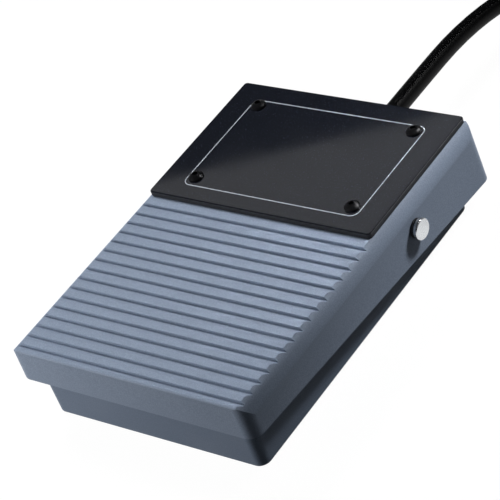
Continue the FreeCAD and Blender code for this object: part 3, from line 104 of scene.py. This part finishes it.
class PedalLead(bpy.types.PropertyGroup):
    """The lead from the pedal to the plug."""

    diameter: length_mm("Diameter", "Outer diameter of the lead", 4.6)
    length: length_mm("Length", "Length of the lead outside the pedal", 1813.0)


class PedalSpring(bpy.types.PropertyGroup):
    """The return spring under the tread."""

    wire: length_mm("Wire", "Radius of the spring's wire", 0.4)
    turns: bpy.props.FloatProperty(name="Turns", description="Turns of the spring", default=7.0)
    pressed: bpy.props.FloatProperty(
        name="Pressed",
        description="Share of its height left at full press",
        default=0.8,
        min=0.0,
        max=1.0,
        subtype="FACTOR",
    )


class PedalColours(bpy.types.PropertyGroup):
    """Base colours of the finishes."""

    hood: paint_colour("Hood", "Paint of the hood", (0.240, 0.290, 0.378))
    # The tray's colour is the hood's paint made darker; this darkness is painted shade, where the
    # tray sits under the hood
    tray: paint_colour("Tray", "Paint of the tray", (0.160, 0.200, 0.270))
    plate: paint_colour("Nameplate", "Gloss black of the nameplate", (0.0075, 0.0088, 0.0135))
    border: paint_colour("Border line", "Print on the nameplate", (0.50, 0.54, 0.60))
    nickel: paint_colour("Nickel", "Plated pin and terminals", (0.66, 0.68, 0.70))
    jacket: paint_colour("Lead", "Jacket of the lead", (0.0015, 0.0015, 0.0018))
    rubber: paint_colour("Rubber", "Feet, bumpers and grommet", (0.018, 0.018, 0.020))


class PedalStudio(bpy.types.PropertyGroup):
    """Lamps, floor and camera."""

    sky: bpy.props.FloatProperty(name="Sky", description="Strength of the world", default=0.035)
    key: lamp_watts("Key", "Lamp high up at the rear left", 5.1)
    side: lamp_watts("Side", "Narrow lamp along the right side", 0.027)
    front: lamp_watts("Front", "Small lamp low at the front left", 0.24)
    card: lamp_watts("Card", "Card at the rear that the nameplate mirrors", 0.335)
    floor_glow: bpy.props.FloatProperty(
        name="Floor glow", description="White that the floor shows by itself", default=0.98
    )
    lens: bpy.props.FloatProperty(
        name="Lens", description="Focal length", default=165.26, subtype="DISTANCE_CAMERA"
    )
    place: bpy.props.FloatVectorProperty(
        name="Camera", description="Place", default=(0.30345, -0.26573, 0.31827), unit="LENGTH"
    )
    turn: bpy.props.FloatVectorProperty(
        name="Camera turn",
        description="Turn of the camera",
        default=tuple(math.radians(angle) for angle in (50.9646, 17.7312, 34.8891)),
        subtype="EULER",
    )


# Colours of the small parts, in linear values

SPRING_STEEL = (0.50, 0.50, 0.51)
BARE_STEEL = (0.42, 0.42, 0.43)
LEVER_STEEL = (0.58, 0.57, 0.54)
ZINC = (0.56, 0.57, 0.58)
BRONZE = (0.60, 0.42, 0.22)
GOLD = (0.80, 0.56, 0.20)
OXIDE_BLACK = (0.016, 0.016, 0.018)
OXIDE_WORN = (0.06, 0.06, 0.065)
WASHER_BLACK = (0.012, 0.012, 0.013)
CASE_BLACK = (0.016, 0.016, 0.018)
PLUNGER_RED = (0.42, 0.02, 0.015)
NATURAL_NYLON = (0.62, 0.60, 0.53)
TONGUE_WHITE = (0.66, 0.66, 0.62)
MASK_GREEN = (0.008, 0.060, 0.022)
MASK_ON_COPPER = (0.020, 0.120, 0.045)

# How much lighter the plug's grip is than the lead's jacket
GRIP_SHARE = 1.6


# Shader maths and finishes

# The colour sockets of a Mix node
MIX_FIRST, MIX_SECOND, MIX_RESULT = 6, 7, 2

# Most of a noise lies between these two values
NOISE_LOW, NOISE_HIGH = 0.3, 0.7

# How far an uneven roughness goes below and above its own value
SMOOTHER, ROUGHER = 0.05, 0.07

# Depths below the nameplate's face where its matt edge is whole and where it ends
EDGE_WHOLE, EDGE_END = 0.3 * MM, 0.1 * MM
EDGE_ROUGHNESS = 0.7

FINE_RELIEF = 0.01 * MM
COARSE_RELIEF = 0.02 * MM
JACKET_RELIEF = 0.012 * MM
TRACK_PITCH = 1.6 * MM


class Signal:
    """A shader socket that takes part in sums; each sum adds its Math node."""

    def __init__(self, nodes, socket):
        self.nodes = nodes
        self.socket = socket

    def maths(self, operation, first, second=0.0):
        """One Math node on two numbers or signals."""
        return self.nodes.node("ShaderNodeMath", {"operation": operation}, {0: first, 1: second})

    def __add__(self, other):
        return self.maths("ADD", self, other)

    def __radd__(self, other):
        return self.maths("ADD", other, self)

    def __sub__(self, other):
        return self.maths("SUBTRACT", self, other)

    def __rsub__(self, other):
        return self.maths("SUBTRACT", other, self)

    def __mul__(self, other):
        return self.maths("MULTIPLY", self, other)

    def __rmul__(self, other):
        return self.maths("MULTIPLY", other, self)

    def sine(self):
        """The sine of the signal."""
        return self.maths("SINE", self)

    def larger(self, other):
        """The larger one of two signals."""
        return self.maths("MAXIMUM", self, other)


class Nodes:
    """The nodes of a material or a world, made from a few plain words."""

    def __init__(self, owner, output):
        owner.use_nodes = True
        self.tree = owner.node_tree
        self.tree.nodes.clear()
        self.end = self.tree.nodes.new(output)

    def node(self, kind, settings, values, output=0):
        """One node: its settings first, then the numbers, colours or signals of its sockets."""
        made = self.tree.nodes.new(kind)
        for name, setting in settings.items():
            setattr(made, name, setting)
        for name, value in values.items():
            self.feed(made.inputs[name], value)
        return Signal(self, made.outputs[output])

    def feed(self, socket, value):
        """A number, colour or signal into one socket."""
        if isinstance(value, Signal):
            self.tree.links.new(value.socket, socket)
        else:
            socket.default_value = value

    def show(self, shader):
        """The shader that the material or the world shows."""
        self.feed(self.end.inputs["Surface"], shader)

    def ray(self, kind):
        """1 for a kind of ray, such as Camera, and 0 for every other ray."""
        return self.node("ShaderNodeLightPath", {}, {}, f"Is {kind} Ray")


class Finish(Nodes):
    """A material on the principled shader."""

    def __init__(self, name):
        self.material = bpy.data.materials.new(name)
        super().__init__(self.material, "ShaderNodeOutputMaterial")
        self.shader = self.tree.nodes.new("ShaderNodeBsdfPrincipled")
        self.surface = Signal(self, self.shader.outputs["BSDF"])
        self.show(self.surface)

    def shade(self, **values):
        """The principled shader's sockets, named with underscores for spaces."""
        for name, value in values.items():
            self.feed(self.shader.inputs[name.replace("_", " ")], value)
        return self

    def place(self):
        """The point of the object, in metres."""
        return self.node("ShaderNodeTexCoord", {}, {}, "Object")

    def along(self, axis):
        """One coordinate of the point, in metres."""
        return self.node("ShaderNodeSeparateXYZ", {}, {0: self.place()}, axis)

    def noise(self, size, detail=2.0, rough=0.5):
        """Noise from 0 to 1 whose features are about size metres across."""
        values = {"Vector": self.place(), "Scale": 1 / size, "Detail": detail, "Roughness": rough}
        return self.node("ShaderNodeTexNoise", {}, values)

    def between(self, signal, low, high, least=0.0, most=1.0):
        """A signal's stretch from low to high, eased onto another stretch and held past it."""
        values = {0: signal, 1: low, 2: high, 3: least, 4: most}
        return self.node("ShaderNodeMapRange", {"interpolation_type": "SMOOTHSTEP"}, values)

    def spread(self, noise, least=0.0, most=1.0):
        """A noise spread over the whole stretch from least to most."""
        return self.between(noise, NOISE_LOW, NOISE_HIGH, least, most)

    def uneven(self, noise, rough):
        """A roughness that a noise makes smoother in places and rougher in others."""
        return self.spread(noise, rough - SMOOTHER, rough + ROUGHER)

    def tint(self, share, first, second):
        """A colour that goes from first to second with a share from 0 to 1."""
        values = {"Factor": share, MIX_FIRST: opaque(first), MIX_SECOND: opaque(second)}
        return self.node("ShaderNodeMix", {"data_type": "RGBA"}, values, MIX_RESULT)

    def mottled(self, share, colour, dark, light):
        """A colour that goes from one share of itself to another."""
        return self.tint(share, scaled(colour, dark), scaled(colour, light))

    def bump(self, height, depth, strength):
        """Relief of depth metres from a height signal."""
        values = {"Height": height, "Distance": depth, "Strength": strength}
        normal = self.node("ShaderNodeBump", {}, values)
        return self.shade(Normal=normal)


def opaque(colour):
    """A colour with its alpha."""
    return (*colour, 1.0)


def scaled(colour, share):
    """A colour made lighter or darker."""
    return tuple(min(channel * share, 1.0) for channel in colour)


def cast_paint(name, colour):
    """Satin paint on a casting: fine grain, faint clouds and orange peel."""
    finish = Finish(name)
    cloud = finish.noise(12 * MM, detail=3.0)
    flake = finish.noise(0.22 * MM, detail=1.0)
    grain = finish.between(flake, low=0.30, high=0.72)
    base = finish.mottled(grain, colour, dark=0.90, light=1.12)
    rough = finish.spread(cloud, least=0.48, most=0.56)
    finish.shade(Base_Color=base, Roughness=rough, Specular_IOR_Level=0.12)
    peel = finish.noise(0.6 * MM) + 0.5 * flake
    return finish.bump(peel, COARSE_RELIEF, strength=0.6).material


def gloss_black(name, colour, face):
    """Polished black sheet with fine dust; its cut edges below the face are matt."""
    finish = Finish(name)
    dust = finish.between(finish.noise(0.2 * MM, detail=0.0), low=0.74, high=0.82)
    base = finish.mottled(dust, colour, dark=1.0, light=4.0)
    polish = finish.spread(finish.noise(10 * MM), least=0.035, most=0.055)
    on_face = finish.between(finish.along("Z"), low=face - EDGE_WHOLE, high=face - EDGE_END)
    rough = polish + EDGE_ROUGHNESS * (1 - on_face)
    finish.shade(Base_Color=base, Roughness=rough, Specular_IOR_Level=0.5)
    return finish.bump(finish.noise(12 * MM, detail=1.0), FINE_RELIEF, strength=0.15).material


def print_ink(name, colour):
    """Pale printed ink, slightly broken up."""
    finish = Finish(name)
    spots = finish.between(finish.noise(0.3 * MM), low=0.25, high=0.45)
    base = finish.mottled(spots, colour, dark=0.72, light=1.0)
    finish.shade(Base_Color=base, Roughness=0.42)
    return finish.bump(finish.noise(0.2 * MM), FINE_RELIEF, strength=0.4).material


def plated(name, colour, rough, grain=0.6 * MM):
    """Plated or bare metal with fine tumbling marks."""
    finish = Finish(name)
    marks = finish.noise(grain, detail=4.0, rough=0.6)
    cloud = finish.noise(6 * grain)
    base = finish.mottled(finish.spread(cloud), colour, dark=0.86, light=1.0)
    finish.shade(Base_Color=base, Metallic=1.0, Roughness=finish.uneven(marks, rough))
    return finish.bump(marks, FINE_RELIEF, strength=0.5).material


def black_oxide(name):
    """Blackened steel with an oily gloss."""
    finish = Finish(name)
    marks = finish.noise(0.5 * MM, detail=3.0)
    worn = finish.between(marks, low=0.60, high=0.78)
    base = finish.tint(worn, OXIDE_BLACK, OXIDE_WORN)
    finish.shade(Base_Color=base, Metallic=0.6, Specular_IOR_Level=0.6)
    finish.shade(Roughness=finish.spread(marks, least=0.30, most=0.42))
    return finish.bump(marks, FINE_RELIEF, strength=0.5).material


def moulded(name, colour, rough, texture=0.4 * MM, depth=COARSE_RELIEF, gloss=0.45):
    """Moulded plastic or rubber with spark-eroded texture and faint flow clouds."""
    finish = Finish(name)
    cloud = finish.noise(6 * MM)
    pits = finish.noise(texture, rough=0.6)
    base = finish.mottled(finish.spread(cloud), colour, dark=0.88, light=1.12)
    finish.shade(Base_Color=base, Roughness=finish.uneven(pits, rough), Specular_IOR_Level=gloss)
    return finish.bump(pits, depth, strength=0.6).material


def board_mask(name):
    """Green solder mask over copper lines that run along the board."""
    finish = Finish(name)
    lines = (finish.along("X") * (2 * math.pi / TRACK_PITCH)).sine()
    weave = finish.noise(0.8 * MM)
    copper = finish.between(lines + 0.5 * weave, low=0.75, high=0.95)
    base = finish.tint(copper, MASK_GREEN, MASK_ON_COPPER)
    finish.shade(Base_Color=base, Roughness=0.32, Specular_IOR_Level=0.5)
    return finish.bump(copper, COARSE_RELIEF, strength=0.5).material


# Modelling helpers


def deselect():
    """Nothing is selected, so that an operator acts on one new piece alone."""
    for selected in list(bpy.context.selected_objects):
        selected.select_set(False)


def only(piece):
    """One piece is selected and active."""
    deselect()
    piece.select_set(True)
    bpy.context.view_layer.objects.active = piece


def start_edit(piece):
    """A piece is in edit mode with its whole mesh selected."""
    only(piece)
    bpy.ops.object.mode_set(mode="EDIT")
    bpy.ops.mesh.select_all(action="SELECT")


def end_edit():
    """The edited mesh's faces point outwards, and edit mode is left."""
    bpy.ops.mesh.select_all(action="SELECT")
    bpy.ops.mesh.normals_make_consistent(inside=False)
    bpy.ops.object.mode_set(mode="OBJECT")


def rest_at_origin(piece, name, material, body):
    """Name a finished piece, put its place into its mesh, and say what it rides on."""
    only(piece)
    bpy.ops.object.transform_apply(location=True, rotation=True, scale=True)
    piece.name = name
    piece.data.name = name
    piece.data.materials.clear()
    piece.data.materials.append(material)
    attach(piece, body)


def tube_along(name, points, radius, steps, ring):
    """A round tube along one open spline that follows its control points."""
    curve = bpy.data.curves.new(name, "CURVE")
    curve.dimensions = "3D"
    spline = curve.splines.new("NURBS")
    spline.points.add(len(points) - 1)
    for control, place in zip(spline.points, points, strict=True):
        control.co = (*place, 1.0)
    spline.order_u = 3
    spline.use_endpoint_u = True
    spline.resolution_u = steps
    curve.bevel_depth = radius
    curve.bevel_resolution = ring
    curve.use_fill_caps = True
    piece = bpy.data.objects.new(name, curve)
    bpy.context.collection.objects.link(piece)
    return piece


def paint(material, *names):
    """Give CAD nodes a finish."""
    for name in names:
        for slot in NODES[name].material_slots:
            slot.material = material


# The studio

SENSOR_WIDTH = 36.0
NEAREST_SEEN, FARTHEST_SEEN = 0.01, 50.0
FLOOR_SIZE = 6.0
FLOOR_GREY = (0.03, 0.03, 0.03)
SKY_TINT = (0.80, 0.90, 1.0)
WHITE = (1.0, 1.0, 1.0)

# Each lamp's place and aim, and the width and height of its face
KEY_LAMP = {
    "place": (-0.42, 0.21, 0.535),
    "aim": (0.0, 0.0, 0.015),
    "face": (0.25, 0.25),
}
SIDE_LAMP = {
    "place": (0.16, 0.231, 0.245),
    "aim": (0.048, 0.036, 0.014),
    "face": (0.06, 0.06),
}
FRONT_LAMP = {
    "place": (-0.13, -0.17, 0.06),
    "aim": (-0.02, -0.047, 0.016),
    "face": (0.05, 0.05),
}
REAR_CARD = {
    "place": (-0.5223, 0.5035, 0.7235),
    "aim": (0.0623, -0.0697, 0.1493),
    "face": (0.6, 0.345),
    "roll": math.radians(-7.0),
}
SIDE_SPREAD = math.radians(24.0)


def turn_towards(place, aim):
    """The turn that points a lamp from its place to its aim."""
    return (Vector(aim) - Vector(place)).to_track_quat("-Z", "Y").to_euler()


def soft_lamp(name, watts, place, aim, face, roll=0.0):
    """A rectangular lamp at a place, turned to its aim and then rolled."""
    deselect()
    turn = turn_towards(place, aim)
    turn.rotate_axis("Z", roll)
    bpy.ops.object.light_add(type="AREA", location=place, rotation=turn)
    lamp = bpy.context.object
    lamp.name = name
    lamp.data.name = name
    lamp.data.shape = "RECTANGLE"
    lamp.data.size, lamp.data.size_y = face
    lamp.data.energy = watts
    return lamp


def white_floor(name, glow):
    """A floor that shows white to the camera and in gloss, and still takes the shadow."""
    finish = Finish(name)
    finish.shade(Base_Color=opaque(FLOOR_GREY), Roughness=0.9, Specular_IOR_Level=0.0)
    shown = finish.ray("Camera").larger(finish.ray("Glossy")).larger(finish.ray("Transmission"))
    light = finish.node("ShaderNodeEmission", {}, {"Strength": shown * glow})
    finish.show(finish.node("ShaderNodeAddShader", {}, {0: finish.surface, 1: light}))
    return finish.material


def white_sky(name, strength):
    """A dim sky that shows white to the camera alone."""
    world = bpy.data.worlds.new(name)
    nodes = Nodes(world, "ShaderNodeOutputWorld")
    sky_values = {"Color": opaque(SKY_TINT), "Strength": strength}
    sky = nodes.node("ShaderNodeBackground", {}, sky_values)
    white = nodes.node("ShaderNodeBackground", {}, {"Color": opaque(WHITE)})
    shares = {0: nodes.ray("Camera"), 1: sky, 2: white}
    nodes.show(nodes.node("ShaderNodeMixShader", {}, shares))
    return world


def set_camera(scene, studio):
    """The camera that sees the pedal as the main picture shows it."""
    deselect()
    bpy.ops.object.camera_add(location=studio.place, rotation=studio.turn)
    camera = bpy.context.object
    camera.name = "pedal_camera"
    camera.data.lens = studio.lens
    camera.data.sensor_width = SENSOR_WIDTH
    camera.data.clip_start = NEAREST_SEEN
    camera.data.clip_end = FARTHEST_SEEN
    scene.camera = camera
    scene.view_settings.view_transform = "Standard"


def lay_floor(studio):
    """The floor that the pedal stands on."""
    deselect()
    bpy.ops.mesh.primitive_plane_add(size=FLOOR_SIZE, location=(0.0, 0.0, 0.0))
    floor = bpy.context.object
    floor.name = "floor"
    floor.data.materials.append(white_floor("floor_white", studio.floor_glow))


def hang_lamps(studio):
    """The lamps; the key stays out of mirror images, and the card is there for them."""
    key = soft_lamp("key_lamp", studio.key, **KEY_LAMP)
    key.visible_glossy = False
    side = soft_lamp("side_lamp", studio.side, **SIDE_LAMP)
    side.data.spread = SIDE_SPREAD
    soft_lamp("front_lamp", studio.front, **FRONT_LAMP)
    soft_lamp("rear_card", studio.card, **REAR_CARD)


class PEDAL_OT_stage(bpy.types.Operator):
    """Make the camera, the floor, the sky and the lamps"""

    bl_idname = "pedal.stage"
    bl_label = "Studio"

    def execute(self, context):
        studio = context.scene.pedal_studio
        set_camera(context.scene, studio)
        lay_floor(studio)
        context.scene.world = white_sky("sky", studio.sky)
        hang_lamps(studio)
        return {"FINISHED"}


# The lead

# The way out of the pedal and the way from the coil to the plug, as chosen points
LEAD_OUT = [
    (0.0, 0.0444, 0.00865),
    (0.0, 0.0660, 0.00865),
    (0.0003, 0.0920, 0.0085),
    (0.0050, 0.1140, 0.0056),
]
LEAD_TAIL = [(0.0110, 0.1210, 0.0140), (0.0210, 0.1315, 0.0086), (0.0245, 0.1455, 0.0046)]
PLUG_START = (0.0245, 0.1700, 0.00385)
PLUG_RUN = 0.0110
COIL_MIDDLE = (-0.0200, 0.1490, 0.00235)
COIL_MEAN = 0.0264
COIL_STEP = 0.0052
COIL_LAYERS = 4
LAYER_TURNS = 2.4375
CLIMB_TURNS = 0.5
POINTS_PER_TURN = 16
COIL_STRAIGHT = 0.0046
RUN_INTO_COIL = 0.0155
RUN_OUT_OF_COIL = 0.0140
HEADING_TURNS = 0.0001


def coil_place(turns):
    """A point of the coil: it spirals in and out again and climbs where it turns back."""
    outer = COIL_MEAN + COIL_STEP * LAYER_TURNS / 2
    layer = min(int(turns / LAYER_TURNS), COIL_LAYERS - 1)
    into = turns - layer * LAYER_TURNS
    inward = into if layer % 2 == 0 else LAYER_TURNS - into
    rise = layer
    near = round(turns / LAYER_TURNS)
    off = turns - near * LAYER_TURNS
    if 0 < near < COIL_LAYERS and abs(off) < CLIMB_TURNS / 2:
        share = off / CLIMB_TURNS + 0.5
        rise = near - 1 + share * share * (3 - 2 * share)
    angle = 2 * math.pi * turns
    out = Vector((math.cos(angle), math.sin(angle), 0.0)) * (outer - COIL_STEP * inward)
    return Vector(COIL_MIDDLE) + out + Vector((0.0, 0.0, COIL_STEP * rise))


def coil_heading(turns_from, turns_to):
    """The way the coil runs from one of its places to another close by."""
    return (coil_place(turns_to) - coil_place(turns_from)).normalized()


def lead_points():
    """The lead's whole route: out of the pedal, round the coil and on to the plug."""
    last = COIL_LAYERS * LAYER_TURNS
    count = round(last * POINTS_PER_TURN)
    stand_off = 1 / math.cos(math.pi / POINTS_PER_TURN)
    middle = Vector(COIL_MIDDLE)
    heading_in = coil_heading(0.0, HEADING_TURNS)
    heading_out = coil_heading(last - HEADING_TURNS, last)
    start = coil_place(0.0) - heading_in * COIL_STRAIGHT
    end = coil_place(last) + heading_out * COIL_STRAIGHT
    points = [Vector(place) for place in LEAD_OUT]
    points.append(start - heading_in * RUN_INTO_COIL)
    points.append(start)
    for k in range(count):
        place = coil_place(last * (k + 0.5) / count)
        flat = Vector((place.x - middle.x, place.y - middle.y, 0.0)) * (stand_off - 1)
        points.append(place + flat)
    points.append(end)
    points.append(end + heading_out * RUN_OUT_OF_COIL)
    points += [Vector(place) for place in LEAD_TAIL]
    points.append(Vector(PLUG_START) - Vector((0.0, PLUG_RUN, 0.0)))
    points.append(Vector(PLUG_START))
    return points


class PEDAL_OT_lead(bpy.types.Operator):
    """Lay the lead: straight out, down to the floor, round its coil and on to the plug"""

    bl_idname = "pedal.lead"
    bl_label = "Lead"

    def execute(self, context):
        lead = context.scene.pedal_lead
        colours = context.scene.pedal_colours
        piece = tube_along("lead", lead_points(), lead.diameter / 2, steps=5, ring=7)
        jacket = moulded(
            "jacket_black",
            colours.jacket,
            rough=0.5,
            texture=0.3 * MM,
            depth=JACKET_RELIEF,
            gloss=0.12,
        )
        piece.data.materials.append(jacket)
        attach(piece, "base")
        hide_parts("lead_run", "lead_coil", "lead_tail")
        paint(jacket, "plug_relief", "lead_inner_end", "lead_wires")
        return {"FINISHED"}


# The return spring and the nameplate's border line

SPRING_MERGE = 0.01 * MM
BORDER_CORNER_STEPS = 10


def spring_points(foot, across, high, wire, turns):
    """The middle line of a spring's wire, from its foot up to its top."""
    count = round(turns * POINTS_PER_TURN)
    around = (across / 2 - wire) / math.cos(math.pi / POINTS_PER_TURN)
    climb = high - 2 * wire
    points = []
    for k in range(count + 1):
        angle = 2 * math.pi * turns * k / count
        out = Vector((math.cos(angle), math.sin(angle), 0.0)) * around
        points.append(foot + out + Vector((0.0, 0.0, wire + climb * k / count)))
    return points


class PEDAL_OT_spring(bpy.types.Operator):
    """Wind the return spring"""

    bl_idname = "pedal.spring"
    bl_label = "Return spring"

    def execute(self, context):
        spring = context.scene.pedal_spring
        low, high = (Vector(corner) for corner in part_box("return_spring"))
        foot = Vector(((low.x + high.x) / 2, (low.y + high.y) / 2, low.z))
        size = high - low
        points = spring_points(foot, size.x, size.z, spring.wire, spring.turns)
        piece = tube_along("return_spring_coil", points, spring.wire, steps=3, ring=3)
        only(piece)
        bpy.ops.object.convert(target="MESH")
        start_edit(piece)
        bpy.ops.mesh.remove_doubles(threshold=SPRING_MERGE)
        end_edit()
        steel = plated("spring_steel", SPRING_STEEL, rough=0.26, grain=0.4 * MM)
        rest_at_origin(piece, "return_spring_coil", steel, "base")
        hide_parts("return_spring")
        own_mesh(piece)
        return {"FINISHED"}


class PEDAL_OT_border(bpy.types.Operator):
    """Print the thin line round the nameplate's face"""

    bl_idname = "pedal.border"
    bl_label = "Border line"

    def execute(self, context):
        border = context.scene.pedal_border
        low, high = (Vector(corner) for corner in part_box("nameplate"))
        front = low.y + border.inset_front
        rear = high.y - border.inset_rear
        deselect()
        middle = (border.shift, (front + rear) / 2, 0.0)
        bpy.ops.mesh.primitive_plane_add(size=1.0, location=middle)
        piece = context.object
        start_edit(piece)
        bpy.ops.transform.resize(value=(2 * border.half_width, rear - front, 1.0))
        bpy.ops.mesh.bevel(offset=border.corner, segments=BORDER_CORNER_STEPS, affect="VERTICES")
        bpy.ops.mesh.inset(thickness=border.thickness, use_boundary=True)
        bpy.ops.mesh.delete(type="FACE")
        bpy.ops.mesh.select_all(action="SELECT")
        bpy.ops.mesh.extrude_region_move(
            TRANSFORM_OT_translate={"value": (0.0, 0.0, 2 * border.rise)}
        )
        bpy.ops.mesh.select_all(action="SELECT")
        bpy.ops.transform.translate(value=(0.0, 0.0, high.z - border.rise))
        end_edit()
        ink = print_ink("border_ink", context.scene.pedal_colours.border)
        rest_at_origin(piece, "nameplate_border", ink, "pedal")
        return {"FINISHED"}


# Finishes of the CAD nodes


class PEDAL_OT_castings(bpy.types.Operator):
    """Paint the hood and the tray"""

    bl_idname = "pedal.castings"
    bl_label = "Castings"

    def execute(self, context):
        colours = context.scene.pedal_colours
        paint(cast_paint("hood_paint", colours.hood), "pedal_cover")
        # The tray gets the darker copy of the hood's paint: painted shade under the hood
        paint(cast_paint("tray_paint", colours.tray), "base_tray")
        return {"FINISHED"}


class PEDAL_OT_plate(bpy.types.Operator):
    """Finish the nameplate and its screws"""

    bl_idname = "pedal.plate"
    bl_label = "Nameplate and screws"

    def execute(self, context):
        colours = context.scene.pedal_colours
        face = Vector(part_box("nameplate")[1]).z
        paint(gloss_black("plate_gloss", colours.plate, face), "nameplate")
        screws = [name for name in NODES if name.startswith("nameplate_screw")]
        paint(black_oxide("screw_black"), *screws)
        return {"FINISHED"}


class PEDAL_OT_hinge(bpy.types.Operator):
    """Finish the hinge pin, its clip, washers and bushes"""

    bl_idname = "pedal.hinge"
    bl_label = "Hinge"

    def execute(self, context):
        colours = context.scene.pedal_colours
        paint(plated("pin_nickel", colours.nickel, rough=0.27), "hinge_pin")
        paint(plated("bare_steel", BARE_STEEL, rough=0.30), "pin_clip", "actuator_screw")
        nylon = moulded("washer_nylon", WASHER_BLACK, rough=0.45)
        paint(nylon, "pin_washer_left", "pin_washer_right")
        bronze = plated("bush_bronze", BRONZE, rough=0.38, grain=0.3 * MM)
        paint(bronze, "hinge_bush_left", "hinge_bush_right")
        return {"FINISHED"}


class PEDAL_OT_rubber(bpy.types.Operator):
    """Finish the feet, the bumpers and the grommet"""

    bl_idname = "pedal.rubber"
    bl_label = "Rubber"

    def execute(self, context):
        colours = context.scene.pedal_colours
        rubber = moulded("rubber_black", colours.rubber, rough=0.7, texture=0.5 * MM)
        names = [name for name in NODES if name.startswith("foot_") or "bumper" in name]
        paint(rubber, "lead_grommet", *names)
        return {"FINISHED"}


class PEDAL_OT_works(bpy.types.Operator):
    """Finish the switch, the board and what holds them inside the tray"""

    bl_idname = "pedal.works"
    bl_label = "Works inside the tray"

    def execute(self, context):
        colours = context.scene.pedal_colours
        bright = plated("zinc_bright", ZINC, rough=0.26, grain=0.4 * MM)
        paint(bright, "board_screws", "clamp_screws", "lever_axle")
        paint(plated("lever_steel", LEVER_STEEL, rough=0.22), "switch_lever")
        shiny = plated("crystal_steel", colours.nickel, rough=0.2)
        paint(shiny, "crystal_can", "switch_terminals")
        paint(board_mask("board_green"), "circuit_board")
        case = moulded("case_black", CASE_BLACK, rough=0.45)
        paint(case, "switch_body", "controller_chip", "lead_clamp")
        paint(moulded("plunger_red", PLUNGER_RED, rough=0.35), "switch_plunger")
        nylon = moulded("natural_nylon", NATURAL_NYLON, rough=0.4)
        paint(nylon, "board_header", "header_plug")
        return {"FINISHED"}


class PEDAL_OT_plug(bpy.types.Operator):
    """Finish the plug at the end of the lead"""

    bl_idname = "pedal.plug"
    bl_label = "Plug"

    def execute(self, context):
        colours = context.scene.pedal_colours
        grip = scaled(colours.jacket, GRIP_SHARE)
        paint(moulded("grip_black", grip, rough=0.5, texture=0.5 * MM), "plug_grip")
        paint(plated("shell_nickel", colours.nickel, rough=0.22), "plug_shell")
        paint(moulded("tongue_white", TONGUE_WHITE, rough=0.35), "plug_tongue")
        paint(plated("contact_gold", GOLD, rough=0.2, grain=0.3 * MM), "plug_contacts")
        return {"FINISHED"}


class PEDAL_PT_sidebar(bpy.types.Panel):
    """The pedal's steps in the sidebar"""

    bl_idname = "PEDAL_PT_sidebar"
    bl_label = "Foot Pedal Switch"
    bl_space_type = "VIEW_3D"
    bl_region_type = "UI"
    bl_category = "Pedal"

    def draw(self, context):
        for group in GROUPS:
            values = getattr(context.scene, group)
            for name in values.bl_rna.properties.keys():
                if name not in ("rna_type", "name"):
                    self.layout.prop(values, name)
        for step in STEPS:
            self.layout.operator(step.bl_idname)


GROUPS = {
    "pedal_border": PedalBorder,
    "pedal_lead": PedalLead,
    "pedal_spring": PedalSpring,
    "pedal_colours": PedalColours,
    "pedal_studio": PedalStudio,
}
STEPS = (
    PEDAL_OT_stage,
    PEDAL_OT_lead,
    PEDAL_OT_spring,
    PEDAL_OT_border,
    PEDAL_OT_castings,
    PEDAL_OT_plate,
    PEDAL_OT_hinge,
    PEDAL_OT_rubber,
    PEDAL_OT_works,
    PEDAL_OT_plug,
)


def register():
    """Register the classes and hang the settings on the scene."""
    for name, group in GROUPS.items():
        bpy.utils.register_class(group)
        setattr(bpy.types.Scene, name, bpy.props.PointerProperty(type=group))
    for step in STEPS:
        bpy.utils.register_class(step)
    bpy.utils.register_class(PEDAL_PT_sidebar)


def unregister():
    """Take everything off again, last first."""
    bpy.utils.unregister_class(PEDAL_PT_sidebar)
    for step in reversed(STEPS):
        bpy.utils.unregister_class(step)
    for name, group in reversed(GROUPS.items()):
        delattr(bpy.types.Scene, name)
        bpy.utils.unregister_class(group)


def main():
    """Dress and stage the pedal."""
    register()
    for step in STEPS:
        section, name = step.bl_idname.split(".")
        getattr(getattr(bpy.ops, section), name)()


if __name__ == "__main__":
    main()
